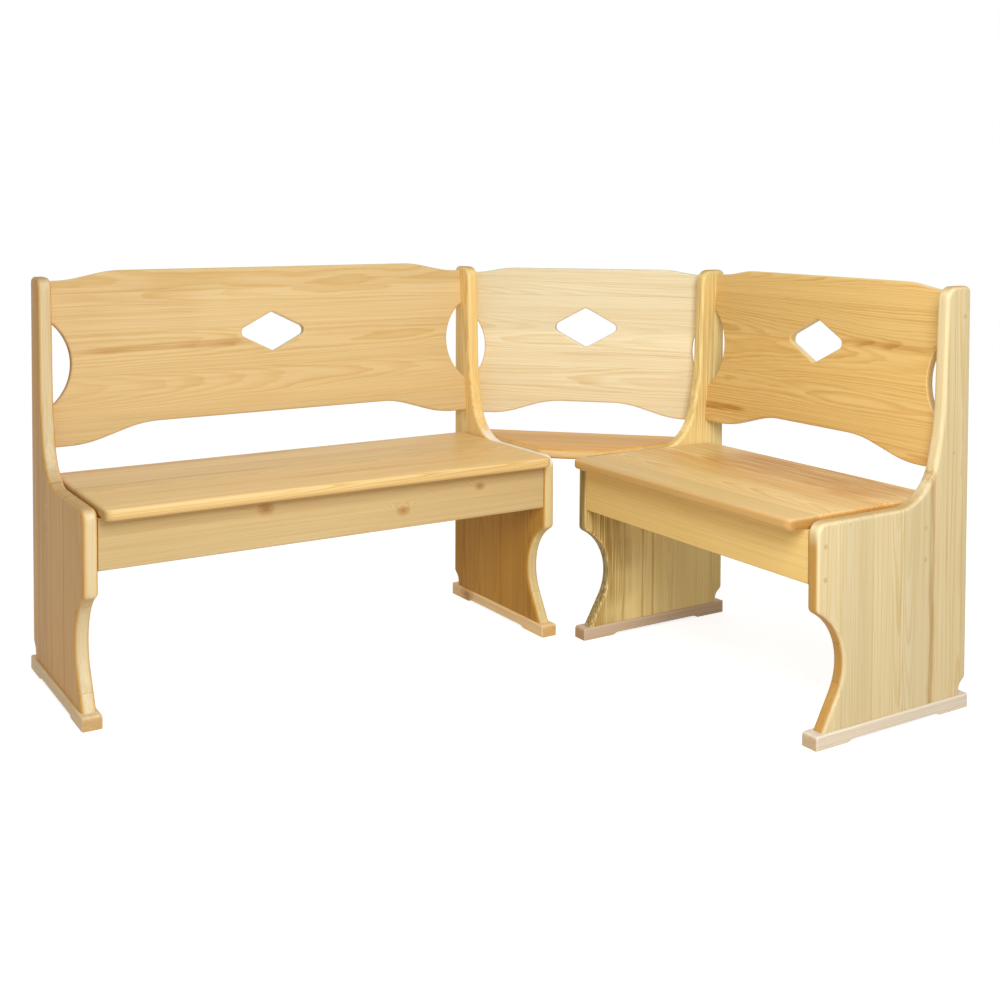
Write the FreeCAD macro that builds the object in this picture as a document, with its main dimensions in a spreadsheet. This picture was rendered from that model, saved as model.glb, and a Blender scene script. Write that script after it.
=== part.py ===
"""Corner bench in solid pine: a long bench, a short bench and the corner seat that joins them.

Frame: the origin lies on the floor under the middle of the whole bench. The long bench runs
along X with its back towards +Y, the short bench runs along Y with its back towards +X, and
the corner seat fills the angle where the two backs meet. Z is up.
"""
import FreeCAD, Part
import os
import re

import Sketcher

# Every driving size of the bench in millimetres, angles in degrees, shares as plain numbers.
SIZES = (
    ("overall_length", 1600, "long side of the plan, out to the outer foot rail"),
    ("overall_width", 1275, "short side of the plan, out to the outer foot rail"),
    ("corner_clearance", 41, "front edge of one inner end panel to the side of the other"),
    ("match_tolerance", 0.01, "how near an edge must lie to a plane to count as in it"),

    ("panel_thickness", 30, "end panels"),
    ("panel_depth", 434, "rear edge to front edge of an end panel"),
    ("stile_rise", 436, "top of the stile above the seats"),
    ("stile_top_depth", 72, "depth of the stile at its top"),
    ("stile_waist_depth", 81, "depth of the stile where it starts to flare"),
    ("flare_rise", 168, "where the stile starts to flare, above the ledge"),
    ("stile_foot_depth", 118, "depth where the stile line would meet the ledge"),
    ("ledge_drop", 6, "flat top of the panel beside the seat, below the top of the seat"),
    ("lip_drop", 49.5, "lower end of the straight front edge, below the aprons"),
    ("scoop_depth", 117.5, "how far behind the front edge the two scoop lines meet"),
    ("scoop_drop", 62, "where the two scoop lines meet, below the straight front edge"),
    ("foot_setback", 17, "front of the panel's foot behind the front edge"),
    ("skirting_depth", 20, "notch for a skirting board, front to back"),
    ("skirting_height", 61, "notch for a skirting board, from the floor"),
    ("skirting_depth_share", 0.85, "bend of the notch, as a share of its depth"),
    ("skirting_rise_share", 0.58, "bend of the notch, as a share of its rise"),
    ("stile_rear_radius", 13, "rear top corner of the stile"),
    ("stile_front_radius", 30, "front top corner of the stile"),
    ("waist_radius", 500, "soft bend where the flare starts"),
    ("waist_room_share", 3.0, "widest waist bend as a share of the flare's height"),
    ("sweep_radius", 112, "hollow between the stile and the ledge"),
    ("sweep_room_share", 0.68, "widest hollow as a share of the flare's height"),
    ("ledge_front_radius", 25, "front corner of the ledge"),
    ("lip_radius", 13, "corner under the straight front edge"),
    ("scoop_radius", 118, "hollow of the front edge above the foot"),
    ("scoop_room_share", 0.93, "widest hollow as a share of what its two lines leave room for"),
    ("notch_rim_radius", 13, "upper corner of the skirting notch"),
    ("notch_corner_radius", 20, "bend inside the skirting notch"),
    ("panel_edge_radius", 9, "round over along the panel's outline"),

    ("foot_rail_height", 28, "foot rail under an end panel"),
    ("foot_rail_overhang", 5.5, "foot rail past each side of its panel"),
    ("foot_rail_lead", 4, "foot rail in front of the panel's front edge"),
    ("foot_pad_length", 86, "flat pad at each end of the foot rail"),
    ("foot_relief_height", 5.5, "clearance under the middle of the foot rail"),
    ("foot_relief_run", 12, "slope between a pad and the relief"),
    ("foot_relief_radius", 15, "bends of the relief"),
    ("foot_nose_radius", 8, "front top corner of the foot rail"),
    ("foot_edge_radius", 4, "round over along the foot rail's sides"),

    ("seat_height", 444, "floor to the top of the seats"),
    ("seat_thickness", 24, "all seat boards"),
    ("seat_rear_setback", 47, "rear edge of a seat in front of the rear line"),
    ("seat_overhang", 42, "seat in front of the end panels"),
    ("seat_gap", 2, "between a seat's end and the end panel"),
    ("seat_front_radius", 18, "front corners in plan"),
    ("seat_rear_radius", 11, "rear corners in plan"),
    ("seat_edge_radius", 9, "round nose around every seat board"),
    ("seat_nose_share", 0.43, "widest nose as a share of the seat board's thickness"),
    ("corner_seat_rear", 2, "where the corner seat's sides start, from the rear line"),
    ("corner_seat_setback", 66, "where the corner seat's sides end, behind the panels' fronts"),
    ("corner_seat_radius", 12, "corners of the corner seat in plan"),

    ("apron_height", 106.5, "front aprons and rear rails, below the seats"),
    ("apron_thickness", 27, "front aprons and rear rails"),
    ("apron_setback", 3, "apron face behind the panel's front edge"),
    ("apron_edge_radius", 4, "lower edges of the aprons and rails"),
    ("rear_rail_setback", 117.5, "rear face of the rear rail in front of the rear line"),
    ("front_screw_setback", 20, "apron screws behind the panel's front edge"),
    ("upper_screw_drop", 28.5, "upper apron screw below the seat board"),
    ("lower_screw_rise", 13.5, "lower apron screw above the apron's lower edge"),

    ("backrest_thickness", 20, "all backrest boards"),
    ("backrest_lean_angle", 6, "lean of the long and short backrests"),
    ("backrest_setback", 2, "rear face at the reference height, from the rear line"),
    ("backrest_rise", 445.5, "reference height above the seats, the long backrest's rear top"),
    ("backrest_edge_radius", 5, "round over of the backrest boards"),
    ("curve_radius", 250, "bends of the shaped top and bottom edges"),
    ("curve_room_share", 0.95, "widest bend as a share of what the run leaves room for"),
    ("upper_backrest_screw", 74, "upper backrest screw below the reference height"),
    ("lower_backrest_screw", 356, "lower backrest screw below the reference height"),
    ("notch_radius", 120, "round hollow in each end of a backrest"),
    ("diamond_corner_radius", 13, "corners of the diamond cut-out"),

    ("long_crown_drop", 0, "middle of the top edge below the reference height"),
    ("long_crown_rise", 21, "middle of the top edge above its ends"),
    ("long_crown_start", 40, "bend next to the end"),
    ("long_crown_end", 140, "bend next to the middle"),
    ("long_foot_drop", 391, "ends of the bottom edge below the reference height"),
    ("long_arch_rise", 40.5, "middle of the bottom edge above its ends"),
    ("long_arch_start", 75, "bend next to the end"),
    ("long_arch_end", 205, "bend next to the middle"),
    ("long_notch_drop", 205.5, "centre of the end hollow below the reference height"),
    ("long_notch_depth", 48, "depth of the end hollow"),
    ("long_diamond_drop", 157.5, "centre of the diamond below the reference height"),
    ("long_diamond_reach", 95.5, "half width of the diamond"),
    ("long_diamond_rise", 48, "half height of the diamond"),
    ("long_diamond_shift", 0, "centre of the diamond left of the board's middle, from the front"),

    ("short_crown_drop", 8.5, "as for the long backrest"),
    ("short_crown_rise", 13, "as for the long backrest"),
    ("short_crown_start", 40, "as for the long backrest"),
    ("short_crown_end", 110, "as for the long backrest"),
    ("short_foot_drop", 394.5, "as for the long backrest"),
    ("short_arch_rise", 39, "as for the long backrest"),
    ("short_arch_start", 88, "as for the long backrest"),
    ("short_arch_end", 222, "as for the long backrest"),
    ("short_notch_drop", 208, "as for the long backrest"),
    ("short_notch_depth", 46, "as for the long backrest"),
    ("short_diamond_drop", 160.5, "as for the long backrest"),
    ("short_diamond_reach", 94.5, "as for the long backrest"),
    ("short_diamond_rise", 51, "as for the long backrest"),
    ("short_diamond_shift", 10, "as for the long backrest"),

    ("corner_crown_drop", 12.5, "as for the long backrest"),
    ("corner_crown_rise", 13, "as for the long backrest"),
    ("corner_crown_start", 30, "as for the long backrest"),
    ("corner_crown_end", 100, "as for the long backrest"),
    ("corner_foot_drop", 399, "as for the long backrest"),
    ("corner_arch_rise", 37, "as for the long backrest"),
    ("corner_arch_start", 92, "as for the long backrest"),
    ("corner_arch_end", 212, "as for the long backrest"),
    ("corner_notch_drop", 221, "as for the long backrest"),
    ("corner_notch_depth", 41, "as for the long backrest"),
    ("corner_diamond_drop", 166.5, "as for the long backrest"),
    ("corner_diamond_reach", 94, "as for the long backrest"),
    ("corner_diamond_rise", 52, "as for the long backrest"),
    ("corner_diamond_shift", 3, "as for the long backrest"),

    ("cleat_width", 20, "seat cleats, measured along the seat board"),
    ("cleat_height", 20, "seat cleats, measured down from the seat board"),
    ("cleat_end_gap", 75, "between a cleat's end and the end panel"),
    ("corner_cleat_rear_gap", 56, "rear end of a corner cleat from the rear line"),
    ("corner_cleat_front_gap", 32, "front end of a corner cleat from the end of the seat's side"),
    ("seat_screw_share", 0.42, "outer screws into the seat, from the cleat's middle"),
    ("side_screw_share", 0.22, "screws into the rail or panel, from the cleat's middle"),

    ("screw_width", 5, "screws through the end panels and foot rails"),
    ("screw_head_width", 9, "heads of those screws"),
    ("screw_head_height", 3, "heads of those screws"),
    ("screw_grip", 42, "how deep a panel screw holds in the board behind it"),
    ("screw_point", 1.6, "bevel at the point of every screw"),
    ("screw_clearance", 0.1, "hole wider than the screw, on the diameter"),
    ("plug_width", 10, "wood plugs over the panel screws"),
    ("plug_length", 6, "wood plugs over the panel screws"),
    ("plug_clearance", 0.1, "hole wider than the plug, on the diameter"),
    ("foot_screw_rise", 9, "head of a foot rail screw above the floor"),
    ("foot_screw_grip", 34, "how deep a foot rail screw holds in the panel"),
    ("foot_screw_rear_setback", 60, "rear foot rail screw from the rear line"),
    ("foot_screw_front_setback", 64, "front foot rail screw behind the panel's front edge"),
    ("cleat_screw_width", 4, "screws through the cleats"),
    ("cleat_screw_head_width", 8, "heads of those screws"),
    ("cleat_screw_head_height", 2.6, "heads of those screws"),
    ("cleat_screw_grip", 15, "how deep a cleat screw holds"),
    ("dowel_width", 6, "dowels of the corner backrest"),
    ("dowel_hold", 10, "how deep a dowel sits in the panel and in the backrest"),
    ("dowel_depth", 18, "dowel axis in front of the rear line"),
    ("upper_dowel_drop", 99.5, "upper dowel below the reference height"),
    ("lower_dowel_drop", 329.5, "lower dowel below the reference height"),
)

doc = FreeCAD.newDocument("CornerBench")
sheet = doc.addObject("Spreadsheet::Sheet", "Sizes")
for row, (word, number, note) in enumerate(SIZES, start=1):
    sheet.set(f"A{row}", word)
    sheet.set(f"B{row}", str(number))
    sheet.set(f"C{row}", note)
    sheet.setAlias(f"B{row}", word)
doc.recompute()

WORDS = {word for word, number, note in SIZES}
SUBPARTS = []


def formula(text):
    """The text with every size word pointing at its cell of the sheet."""
    return re.sub(r"[a-z_]+", lambda found: "Sizes." + found[0] if found[0] in WORDS else found[0],
                  text)


def value(text):
    """The number that a formula gives now."""
    return float(sheet.evalExpression(formula(text)))


def bind(thing, path, text):
    """Tie one property to a formula of the sizes."""
    thing.setExpression(path, formula(text))


def minus(text):
    """The same formula with its sign turned."""
    return f"-({text})"


def new_body(label):
    """An empty body that may hold several separate solids of one group."""
    body = doc.addObject("PartDesign::Body", label)
    body.Label = label
    body.AllowCompound = True
    return body


def place(piece, across, along, up, yaw="0", roll="0"):
    """Place a finished piece by formulas and count it as a sub-part."""
    spot = f"vector({across}; {along}; {up})"
    bind(piece, "Placement", f"placement({spot}; rotation({yaw}; 0; {roll}))")
    SUBPARTS.append(piece)


def new_sketch(body, name, role, rise):
    """A sketch on one of the body's own planes, lifted along that plane's normal."""
    sketch = body.newObject("Sketcher::SketchObject", name)
    plane = [face for face in body.Origin.OriginFeatures if face.Role == role][0]
    sketch.AttachmentSupport = [(plane, "")]
    sketch.MapMode = "FlatFace"
    bind(sketch, "AttachmentOffset.Base.z", rise)
    return sketch


def hold(sketch, piece, end, spot):
    """Dimension one point of a sketch from the sketch's origin."""
    for kind, text in zip(("DistanceX", "DistanceY"), spot):
        number = sketch.addConstraint(Sketcher.Constraint(kind, -1, 1, piece, end, value(text)))
        bind(sketch, f"Constraints[{number}]", text)


def draw_outline(body, name, role, rise, corners):
    """A closed outline of straight lines through the given corners."""
    sketch = new_sketch(body, name, role, rise)
    spots = [FreeCAD.Vector(value(first), value(second), 0) for first, second in corners]
    count = len(spots)
    for number, spot in enumerate(spots):
        sketch.addGeometry(Part.LineSegment(spot, spots[(number + 1) % count]), False)
    for number in range(count):
        follower = (number + 1) % count
        sketch.addConstraint(Sketcher.Constraint("Coincident", number, 2, follower, 1))
    for number, corner in enumerate(corners):
        hold(sketch, number, 1, corner)
    return sketch


def draw_circles(body, name, role, rise, spots, width):
    """Equal circles at the given places."""
    sketch = new_sketch(body, name, role, rise)
    for spot in spots:
        middle = FreeCAD.Vector(value(spot[0]), value(spot[1]), 0)
        round_line = Part.Circle(middle, FreeCAD.Vector(0, 0, 1), value(width) / 2)
        piece = sketch.addGeometry(round_line, False)
        hold(sketch, piece, 3, spot)
        number = sketch.addConstraint(Sketcher.Constraint("Diameter", piece, value(width)))
        bind(sketch, f"Constraints[{number}]", width)
    return sketch


def pad(body, sketch, length, back=False):
    """Raise a sketch along its normal, or against it."""
    raised = body.newObject("PartDesign::Pad", sketch.Name + "_pad")
    raised.Profile = sketch
    bind(raised, "Length", length)
    raised.Reversed = back
    body.Tip = raised
    doc.recompute()
    return raised


def pocket(body, sketch, length=None, along=False):
    """Cut a sketch against its normal, or along it; with no length, right through."""
    before = body.Tip.Shape.Volume
    cut = body.newObject("PartDesign::Pocket", sketch.Name + "_pocket")
    cut.Profile = sketch
    cut.Reversed = along
    if length is None:
        cut.Type = "ThroughAll"
    else:
        bind(cut, "Length", length)
    body.Tip = cut
    doc.recompute()
    if not cut.Shape.Volume < before:
        raise RuntimeError(cut.Name + " cuts nothing")
    return cut


def mirror(body, feature):
    """Repeat a feature on the other side of the body's middle plane."""
    plane = [face for face in body.Origin.OriginFeatures if face.Role == "YZ_Plane"][0]
    before = body.Tip.Shape.Volume
    twin = body.newObject("PartDesign::Mirrored", feature.Name + "_mirror")
    twin.Originals = [feature]
    twin.MirrorPlane = (plane, [""])
    body.Tip = twin
    doc.recompute()
    if not twin.Shape.Volume < before:
        raise RuntimeError(twin.Name + " cuts nothing")


def pick(body, wanted):
    """Names of the edges of the body's tip that pass the test."""
    edges = body.Tip.Shape.Edges
    return [f"Edge{number}" for number, edge in enumerate(edges, start=1) if wanted(edge.BoundBox)]


def near(first, second):
    """Whether two places are the same within the tolerance."""
    return abs(first - second) < value("match_tolerance")


def fillet(body, name, radius, wanted):
    """Round the edges that pass the test."""
    names = pick(body, wanted)
    if not names:
        raise RuntimeError(name + " finds no edge")
    base = body.Tip
    rounded = body.newObject("PartDesign::Fillet", name)
    rounded.Base = (base, names)
    bind(rounded, "Radius", radius)
    body.Tip = rounded
    doc.recompute()


def chamfer(body, name, size, wanted):
    """Bevel the edges that pass the test."""
    names = pick(body, wanted)
    base = body.Tip
    beveled = body.newObject("PartDesign::Chamfer", name)
    beveled.Base = (base, names)
    bind(beveled, "Size", size)
    body.Tip = beveled
    doc.recompute()


def across_x(spots):
    """A test for edges that run along X through one of the given places of Y and Z."""
    places = [(value(first), value(second)) for first, second in spots]
    return lambda box: any(
        near(box.YMin, one) and near(box.YMax, one) and near(box.ZMin, two) and near(box.ZMax, two)
        for one, two in places)


def across_y(spots):
    """A test for edges that run along Y through one of the given places of X and Z."""
    places = [(value(first), value(second)) for first, second in spots]
    return lambda box: any(
        near(box.XMin, one) and near(box.XMax, one) and near(box.ZMin, two) and near(box.ZMax, two)
        for one, two in places)


def across_z(spots):
    """A test for edges that run along Z through one of the given places of X and Y."""
    places = [(value(first), value(second)) for first, second in spots]
    return lambda box: any(
        near(box.XMin, one) and near(box.XMax, one) and near(box.YMin, two) and near(box.YMax, two)
        for one, two in places)


# Places that the pieces share.
HALF_LENGTH = "overall_length / 2"
HALF_WIDTH = "overall_width / 2"
SEAT_UNDERSIDE = "(seat_height - seat_thickness)"
LEDGE = "(seat_height - ledge_drop)"
LIP = f"({SEAT_UNDERSIDE} - apron_height - lip_drop)"
STILE_TOP = "(seat_height + stile_rise)"
BACKREST_TOP = "(seat_height + backrest_rise)"
CORNER_SPAN = "(panel_depth + corner_clearance)"
LONG_SPAN = f"(overall_length - foot_rail_overhang - 2 * panel_thickness - {CORNER_SPAN})"
SHORT_SPAN = f"(overall_width - foot_rail_overhang - 2 * panel_thickness - {CORNER_SPAN})"
LONG_MIDDLE = f"(foot_rail_overhang + panel_thickness + {LONG_SPAN} / 2 - {HALF_LENGTH})"
SHORT_MIDDLE = f"(foot_rail_overhang + panel_thickness + {SHORT_SPAN} / 2 - {HALF_WIDTH})"
APRON_REAR = "(panel_depth - apron_setback - apron_thickness)"
RAIL_FRONT = "(rear_rail_setback + apron_thickness)"
RAIL_SCREW_DEPTH = "(rear_rail_setback + apron_thickness / 2)"
FRONT_SCREW_DEPTH = "(panel_depth - front_screw_setback)"
UPPER_SCREW = f"({SEAT_UNDERSIDE} - upper_screw_drop)"
LOWER_SCREW = f"({SEAT_UNDERSIDE} - apron_height + lower_screw_rise)"
FOOT_LENGTH = "(panel_depth + foot_rail_lead)"
CLEAT_LEVEL = f"({SEAT_UNDERSIDE} - cleat_height / 2)"
FRONT_CLEAT_LINE = f"({APRON_REAR} - cleat_width / 2)"
REAR_CLEAT_LINE = f"({RAIL_FRONT} + cleat_width / 2)"
LONG_CLEAT = f"({LONG_SPAN} - 2 * cleat_end_gap)"
SHORT_CLEAT = f"({SHORT_SPAN} - 2 * cleat_end_gap)"
CORNER_SEAT_FRONT = "(panel_depth - corner_seat_setback)"
CORNER_CLEAT_FRONT = f"({CORNER_SEAT_FRONT} - corner_cleat_front_gap)"
CORNER_CLEAT = f"({CORNER_CLEAT_FRONT} - corner_cleat_rear_gap)"
CORNER_CLEAT_MIDDLE = f"(({CORNER_CLEAT_FRONT} + corner_cleat_rear_gap) / 2)"
FOOT_SCREW_FRONT = "(panel_depth - foot_screw_front_setback)"


def leaned(drop):
    """Depth and height of a backrest screw, from its drop along the leaning board."""
    depth = (f"backrest_setback + {drop} * sin(backrest_lean_angle)"
             " + backrest_thickness / 2 * cos(backrest_lean_angle)")
    height = (f"{BACKREST_TOP} - {drop} * cos(backrest_lean_angle)"
              " + backrest_thickness / 2 * sin(backrest_lean_angle)")
    return depth, height


# Screws through an end panel, as depth from the rear line and height above the floor.
PANEL_SCREWS = [
    leaned("upper_backrest_screw"),
    leaned("lower_backrest_screw"),
    (RAIL_SCREW_DEPTH, UPPER_SCREW),
    (RAIL_SCREW_DEPTH, LOWER_SCREW),
    (FRONT_SCREW_DEPTH, UPPER_SCREW),
    (FRONT_SCREW_DEPTH, LOWER_SCREW),
]
PANEL_SPOTS = [(minus(depth), height) for depth, height in PANEL_SCREWS]
FOOT_SPOTS = [
    ("panel_thickness / 2", minus("foot_screw_rear_setback")),
    ("panel_thickness / 2", minus(f"(foot_screw_rear_setback + {FOOT_SCREW_FRONT}) / 2")),
    ("panel_thickness / 2", minus(FOOT_SCREW_FRONT)),
]
DOWEL_SPOTS = [
    (minus("dowel_depth"), f"{BACKREST_TOP} - upper_dowel_drop"),
    (minus("dowel_depth"), f"{BACKREST_TOP} - lower_dowel_drop"),
]
CORNER_SIDE_SPOTS = [
    (minus(f"{CORNER_CLEAT_MIDDLE} - side_screw_share * {CORNER_CLEAT}"), CLEAT_LEVEL),
    (minus(f"{CORNER_CLEAT_MIDDLE} + side_screw_share * {CORNER_CLEAT}"), CLEAT_LEVEL),
]


def from_face(far, depth):
    """Place of a plane at some depth under the panel's screw side."""
    return f"panel_thickness - ({depth})" if far else depth


def end_panel(name, spot, far, inner):
    """One end panel, its plugs and its screws; far says on which face the screws start."""
    body = new_body(name + "_end_panel")
    bend = ("skirting_depth * skirting_depth_share",
            "foot_rail_height + (skirting_height - foot_rail_height) * skirting_rise_share")
    corners = [
        ("0", "skirting_height"),
        ("0", STILE_TOP),
        (minus("stile_top_depth"), STILE_TOP),
        (minus("stile_waist_depth"), f"{LEDGE} + flare_rise"),
        (minus("stile_foot_depth"), LEDGE),
        (minus("panel_depth"), LEDGE),
        (minus("panel_depth"), LIP),
        (minus("panel_depth - scoop_depth"), f"{LIP} - scoop_drop"),
        (minus("panel_depth - foot_setback"), "foot_rail_height"),
        (minus("skirting_depth"), "foot_rail_height"),
        (minus(bend[0]), bend[1]),
    ]
    outline = draw_outline(body, name + "_profile", "YZ_Plane", "0", corners)
    pad(body, outline, "panel_thickness")
    scoop_run = "(scoop_depth - foot_setback)"
    scoop_fall = f"({LIP} - scoop_drop - foot_rail_height)"
    shorter_line = (f"min(sqrt(scoop_depth^2 + scoop_drop^2); "
                    f"sqrt({scoop_run}^2 + {scoop_fall}^2))")
    half_angle = f"((atan(scoop_drop / scoop_depth) + atan({scoop_fall} / {scoop_run})) / 2)"
    scoop_room = f"scoop_room_share * {shorter_line} * tan({half_angle})"
    radii = (
        (0, "notch_rim_radius"),
        (1, "stile_rear_radius"),
        (2, "stile_front_radius"),
        (3, "min(waist_radius; waist_room_share * flare_rise)"),
        (4, "min(sweep_radius; sweep_room_share * flare_rise)"),
        (5, "ledge_front_radius"),
        (6, "lip_radius"),
        (7, f"min(scoop_radius; {scoop_room})"),
        (10, "notch_corner_radius"),
    )
    for number, radius in radii:
        fillet(body, f"{name}_bend_{number}", radius, across_x([corners[number]]))
    thickness = value("panel_thickness")
    foot = value("foot_rail_height")
    fillet(body, name + "_round_over", "panel_edge_radius",
           lambda box: near(box.XMin, box.XMax)
           and (near(box.XMin, 0) or near(box.XMin, thickness))
           and not near(box.ZMax, foot))
    recess = draw_circles(body, name + "_plug_holes", "YZ_Plane", from_face(far, "0"),
                          PANEL_SPOTS, "plug_width + plug_clearance")
    pocket(body, recess, "plug_length + screw_head_height", not far)
    bore = draw_circles(body, name + "_screw_holes", "YZ_Plane", from_face(far, "0"),
                        PANEL_SPOTS, "screw_width + screw_clearance")
    pocket(body, bore, None, not far)
    foot_bore = draw_circles(body, name + "_foot_holes", "XY_Plane", "foot_rail_height",
                             FOOT_SPOTS, "screw_width + screw_clearance")
    pocket(body, foot_bore, "foot_screw_grip", True)
    if inner:
        dowel_bore = draw_circles(body, name + "_dowel_holes", "YZ_Plane", from_face(far, "0"),
                                  DOWEL_SPOTS, "dowel_width")
        pocket(body, dowel_bore, "dowel_hold", not far)
        side_bore = draw_circles(body, name + "_cleat_holes", "YZ_Plane", from_face(far, "0"),
                                 CORNER_SIDE_SPOTS, "cleat_screw_width + screw_clearance")
        pocket(body, side_bore, "cleat_screw_grip", not far)
    place(body, *spot)

    plugs = new_body(name + "_panel_plugs")
    discs = draw_circles(plugs, name + "_plug_discs", "YZ_Plane", from_face(far, "0"),
                         PANEL_SPOTS, "plug_width")
    pad(plugs, discs, "plug_length", far)
    place(plugs, *spot)

    screws = new_body(name + "_panel_screws")
    heads = draw_circles(screws, name + "_screw_heads", "YZ_Plane", from_face(far, "plug_length"),
                         PANEL_SPOTS, "screw_head_width")
    pad(screws, heads, "screw_head_height", far)
    neck = "plug_length + screw_head_height"
    shanks = draw_circles(screws, name + "_screw_shanks", "YZ_Plane", from_face(far, neck),
                          PANEL_SPOTS, "screw_width")
    pad(screws, shanks, f"panel_thickness - ({neck}) + screw_grip", far)
    tip = value(from_face(far, "panel_thickness + screw_grip"))
    chamfer(screws, name + "_screw_points", "screw_point",
            lambda box: near(box.XMin, tip) and near(box.XMax, tip))
    place(screws, *spot)


def foot_rail(name, spot):
    """The rail under one end panel and its screws, in the panel's own frame."""
    body = new_body(name + "_foot_rail")
    slope_end = "(foot_pad_length + foot_relief_run)"
    corners = [
        ("0", "0"),
        (minus("foot_pad_length"), "0"),
        (minus(slope_end), "foot_relief_height"),
        (minus(f"{FOOT_LENGTH} - {slope_end}"), "foot_relief_height"),
        (minus(f"{FOOT_LENGTH} - foot_pad_length"), "0"),
        (minus(FOOT_LENGTH), "0"),
        (minus(FOOT_LENGTH), "foot_rail_height"),
        ("0", "foot_rail_height"),
    ]
    outline = draw_outline(body, name + "_rail_profile", "YZ_Plane", minus("foot_rail_overhang"),
                           corners)
    pad(body, outline, "panel_thickness + 2 * foot_rail_overhang")
    fillet(body, name + "_relief_bends", "foot_relief_radius", across_x(corners[1:5]))
    fillet(body, name + "_rail_nose", "foot_nose_radius", across_x([corners[6]]))
    low = value(minus("foot_rail_overhang"))
    high = value("panel_thickness + foot_rail_overhang")
    relief = value("foot_relief_height")
    fillet(body, name + "_rail_round_over", "foot_edge_radius",
           lambda box: near(box.XMin, box.XMax)
           and (near(box.XMin, low) or near(box.XMin, high))
           and box.ZMax > relief + value("match_tolerance"))
    recess = draw_circles(body, name + "_rail_recess", "XY_Plane", "0", FOOT_SPOTS,
                          "plug_width + plug_clearance")
    pocket(body, recess, "foot_screw_rise + screw_head_height", True)
    bore = draw_circles(body, name + "_rail_holes", "XY_Plane", "0", FOOT_SPOTS,
                        "screw_width + screw_clearance")
    pocket(body, bore, None, True)
    place(body, *spot)

    screws = new_body(name + "_foot_screws")
    heads = draw_circles(screws, name + "_foot_heads", "XY_Plane", "foot_screw_rise", FOOT_SPOTS,
                         "screw_head_width")
    pad(screws, heads, "screw_head_height")
    neck = "foot_screw_rise + screw_head_height"
    shanks = draw_circles(screws, name + "_foot_shanks", "XY_Plane", neck, FOOT_SPOTS,
                          "screw_width")
    pad(screws, shanks, f"foot_rail_height - ({neck}) + foot_screw_grip")
    tip = value("foot_rail_height + foot_screw_grip")
    chamfer(screws, name + "_foot_points", "screw_point",
            lambda box: near(box.ZMin, tip) and near(box.ZMax, tip))
    place(screws, *spot)


def backrest(name, half, stretch):
    """A backrest board in its own frame, with the reference height at zero.

    half is the half length that the shaping is measured from, and stretch is what the board
    is longer than that at each end before it is trimmed.
    """
    body = new_body(name + "_backrest_board")
    word = {part: f"{name}_{part}" for part in (
        "crown_drop", "crown_rise", "crown_start", "crown_end", "foot_drop", "arch_rise",
        "arch_start", "arch_end", "notch_drop", "notch_depth", "diamond_drop", "diamond_reach",
        "diamond_rise", "diamond_shift")}
    crown = minus(word["crown_drop"])
    shoulder = minus(f"{word['crown_drop']} + {word['crown_rise']}")
    foot = minus(word["foot_drop"])
    arch = minus(f"{word['foot_drop']} - {word['arch_rise']}")
    top = [(f"{half} + {stretch}", shoulder),
           (f"{half} - {word['crown_start']}", shoulder),
           (f"{half} - {word['crown_end']}", crown)]
    low = [(f"{half} - {word['arch_end']}", arch),
           (f"{half} - {word['arch_start']}", foot),
           (f"{half} + {stretch}", foot)]
    right = top[::-1] + low[::-1]
    left = [(minus(across), up) for across, up in right[::-1]]
    outline = draw_outline(body, name + "_board_outline", "XZ_Plane", "0", right + left)
    pad(body, outline, "backrest_thickness")
    for part, bends in (("crown", top[1:]), ("arch", low[:2])):
        run = f"({word[part + '_end']} - {word[part + '_start']})"
        rise = word[part + "_rise"]
        room = f"min({run}; 2 * {word[part + '_start']}) * {run} / {rise}"
        spots = bends + [(minus(across), up) for across, up in bends]
        fillet(body, f"{name}_{part}_bends", f"min(curve_radius; curve_room_share * {room})",
               across_y(spots))
    notch_middle = f"{half} + notch_radius - {word['notch_depth']}"
    notch_spots = [(notch_middle, minus(word["notch_drop"])),
                   (minus(notch_middle), minus(word["notch_drop"]))]
    notches = draw_circles(body, name + "_end_hollows", "XZ_Plane", "0", notch_spots,
                           "2 * notch_radius")
    pocket(body, notches, None, True)
    shift = word["diamond_shift"]
    middle = minus(word["diamond_drop"])
    diamond = [
        (minus(f"{word['diamond_reach']} + {shift}"), middle),
        (minus(shift), f"{middle} - {word['diamond_rise']}"),
        (f"{word['diamond_reach']} - {shift}", middle),
        (minus(shift), f"{middle} + {word['diamond_rise']}"),
    ]
    cut_out = draw_outline(body, name + "_diamond", "XZ_Plane", "0", diamond)
    pocket(body, cut_out, None, True)
    fillet(body, name + "_diamond_corners", "diamond_corner_radius", across_y(diamond))
    end = value(f"{half} + {stretch}")
    front = value(minus("backrest_thickness"))
    fillet(body, name + "_board_round_over", "backrest_edge_radius",
           lambda box: near(box.YMin, box.YMax)
           and (near(box.YMin, 0) or near(box.YMin, front))
           and not (near(box.XMin, box.XMax) and near(abs(box.XMin), end)))
    return body


def screwed_backrest(name, half, spot):
    """A leaning backrest between two end panels, bored for the panel screws."""
    body = backrest(name, half, "0")
    spots = [(minus("backrest_thickness / 2"), minus("upper_backrest_screw")),
             (minus("backrest_thickness / 2"), minus("lower_backrest_screw"))]
    bore = draw_circles(body, name + "_board_holes", "YZ_Plane", half, spots,
                        "screw_width + screw_clearance")
    mirror(body, pocket(body, bore, "screw_grip"))
    place(body, *spot, roll=minus("backrest_lean_angle"))


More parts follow.
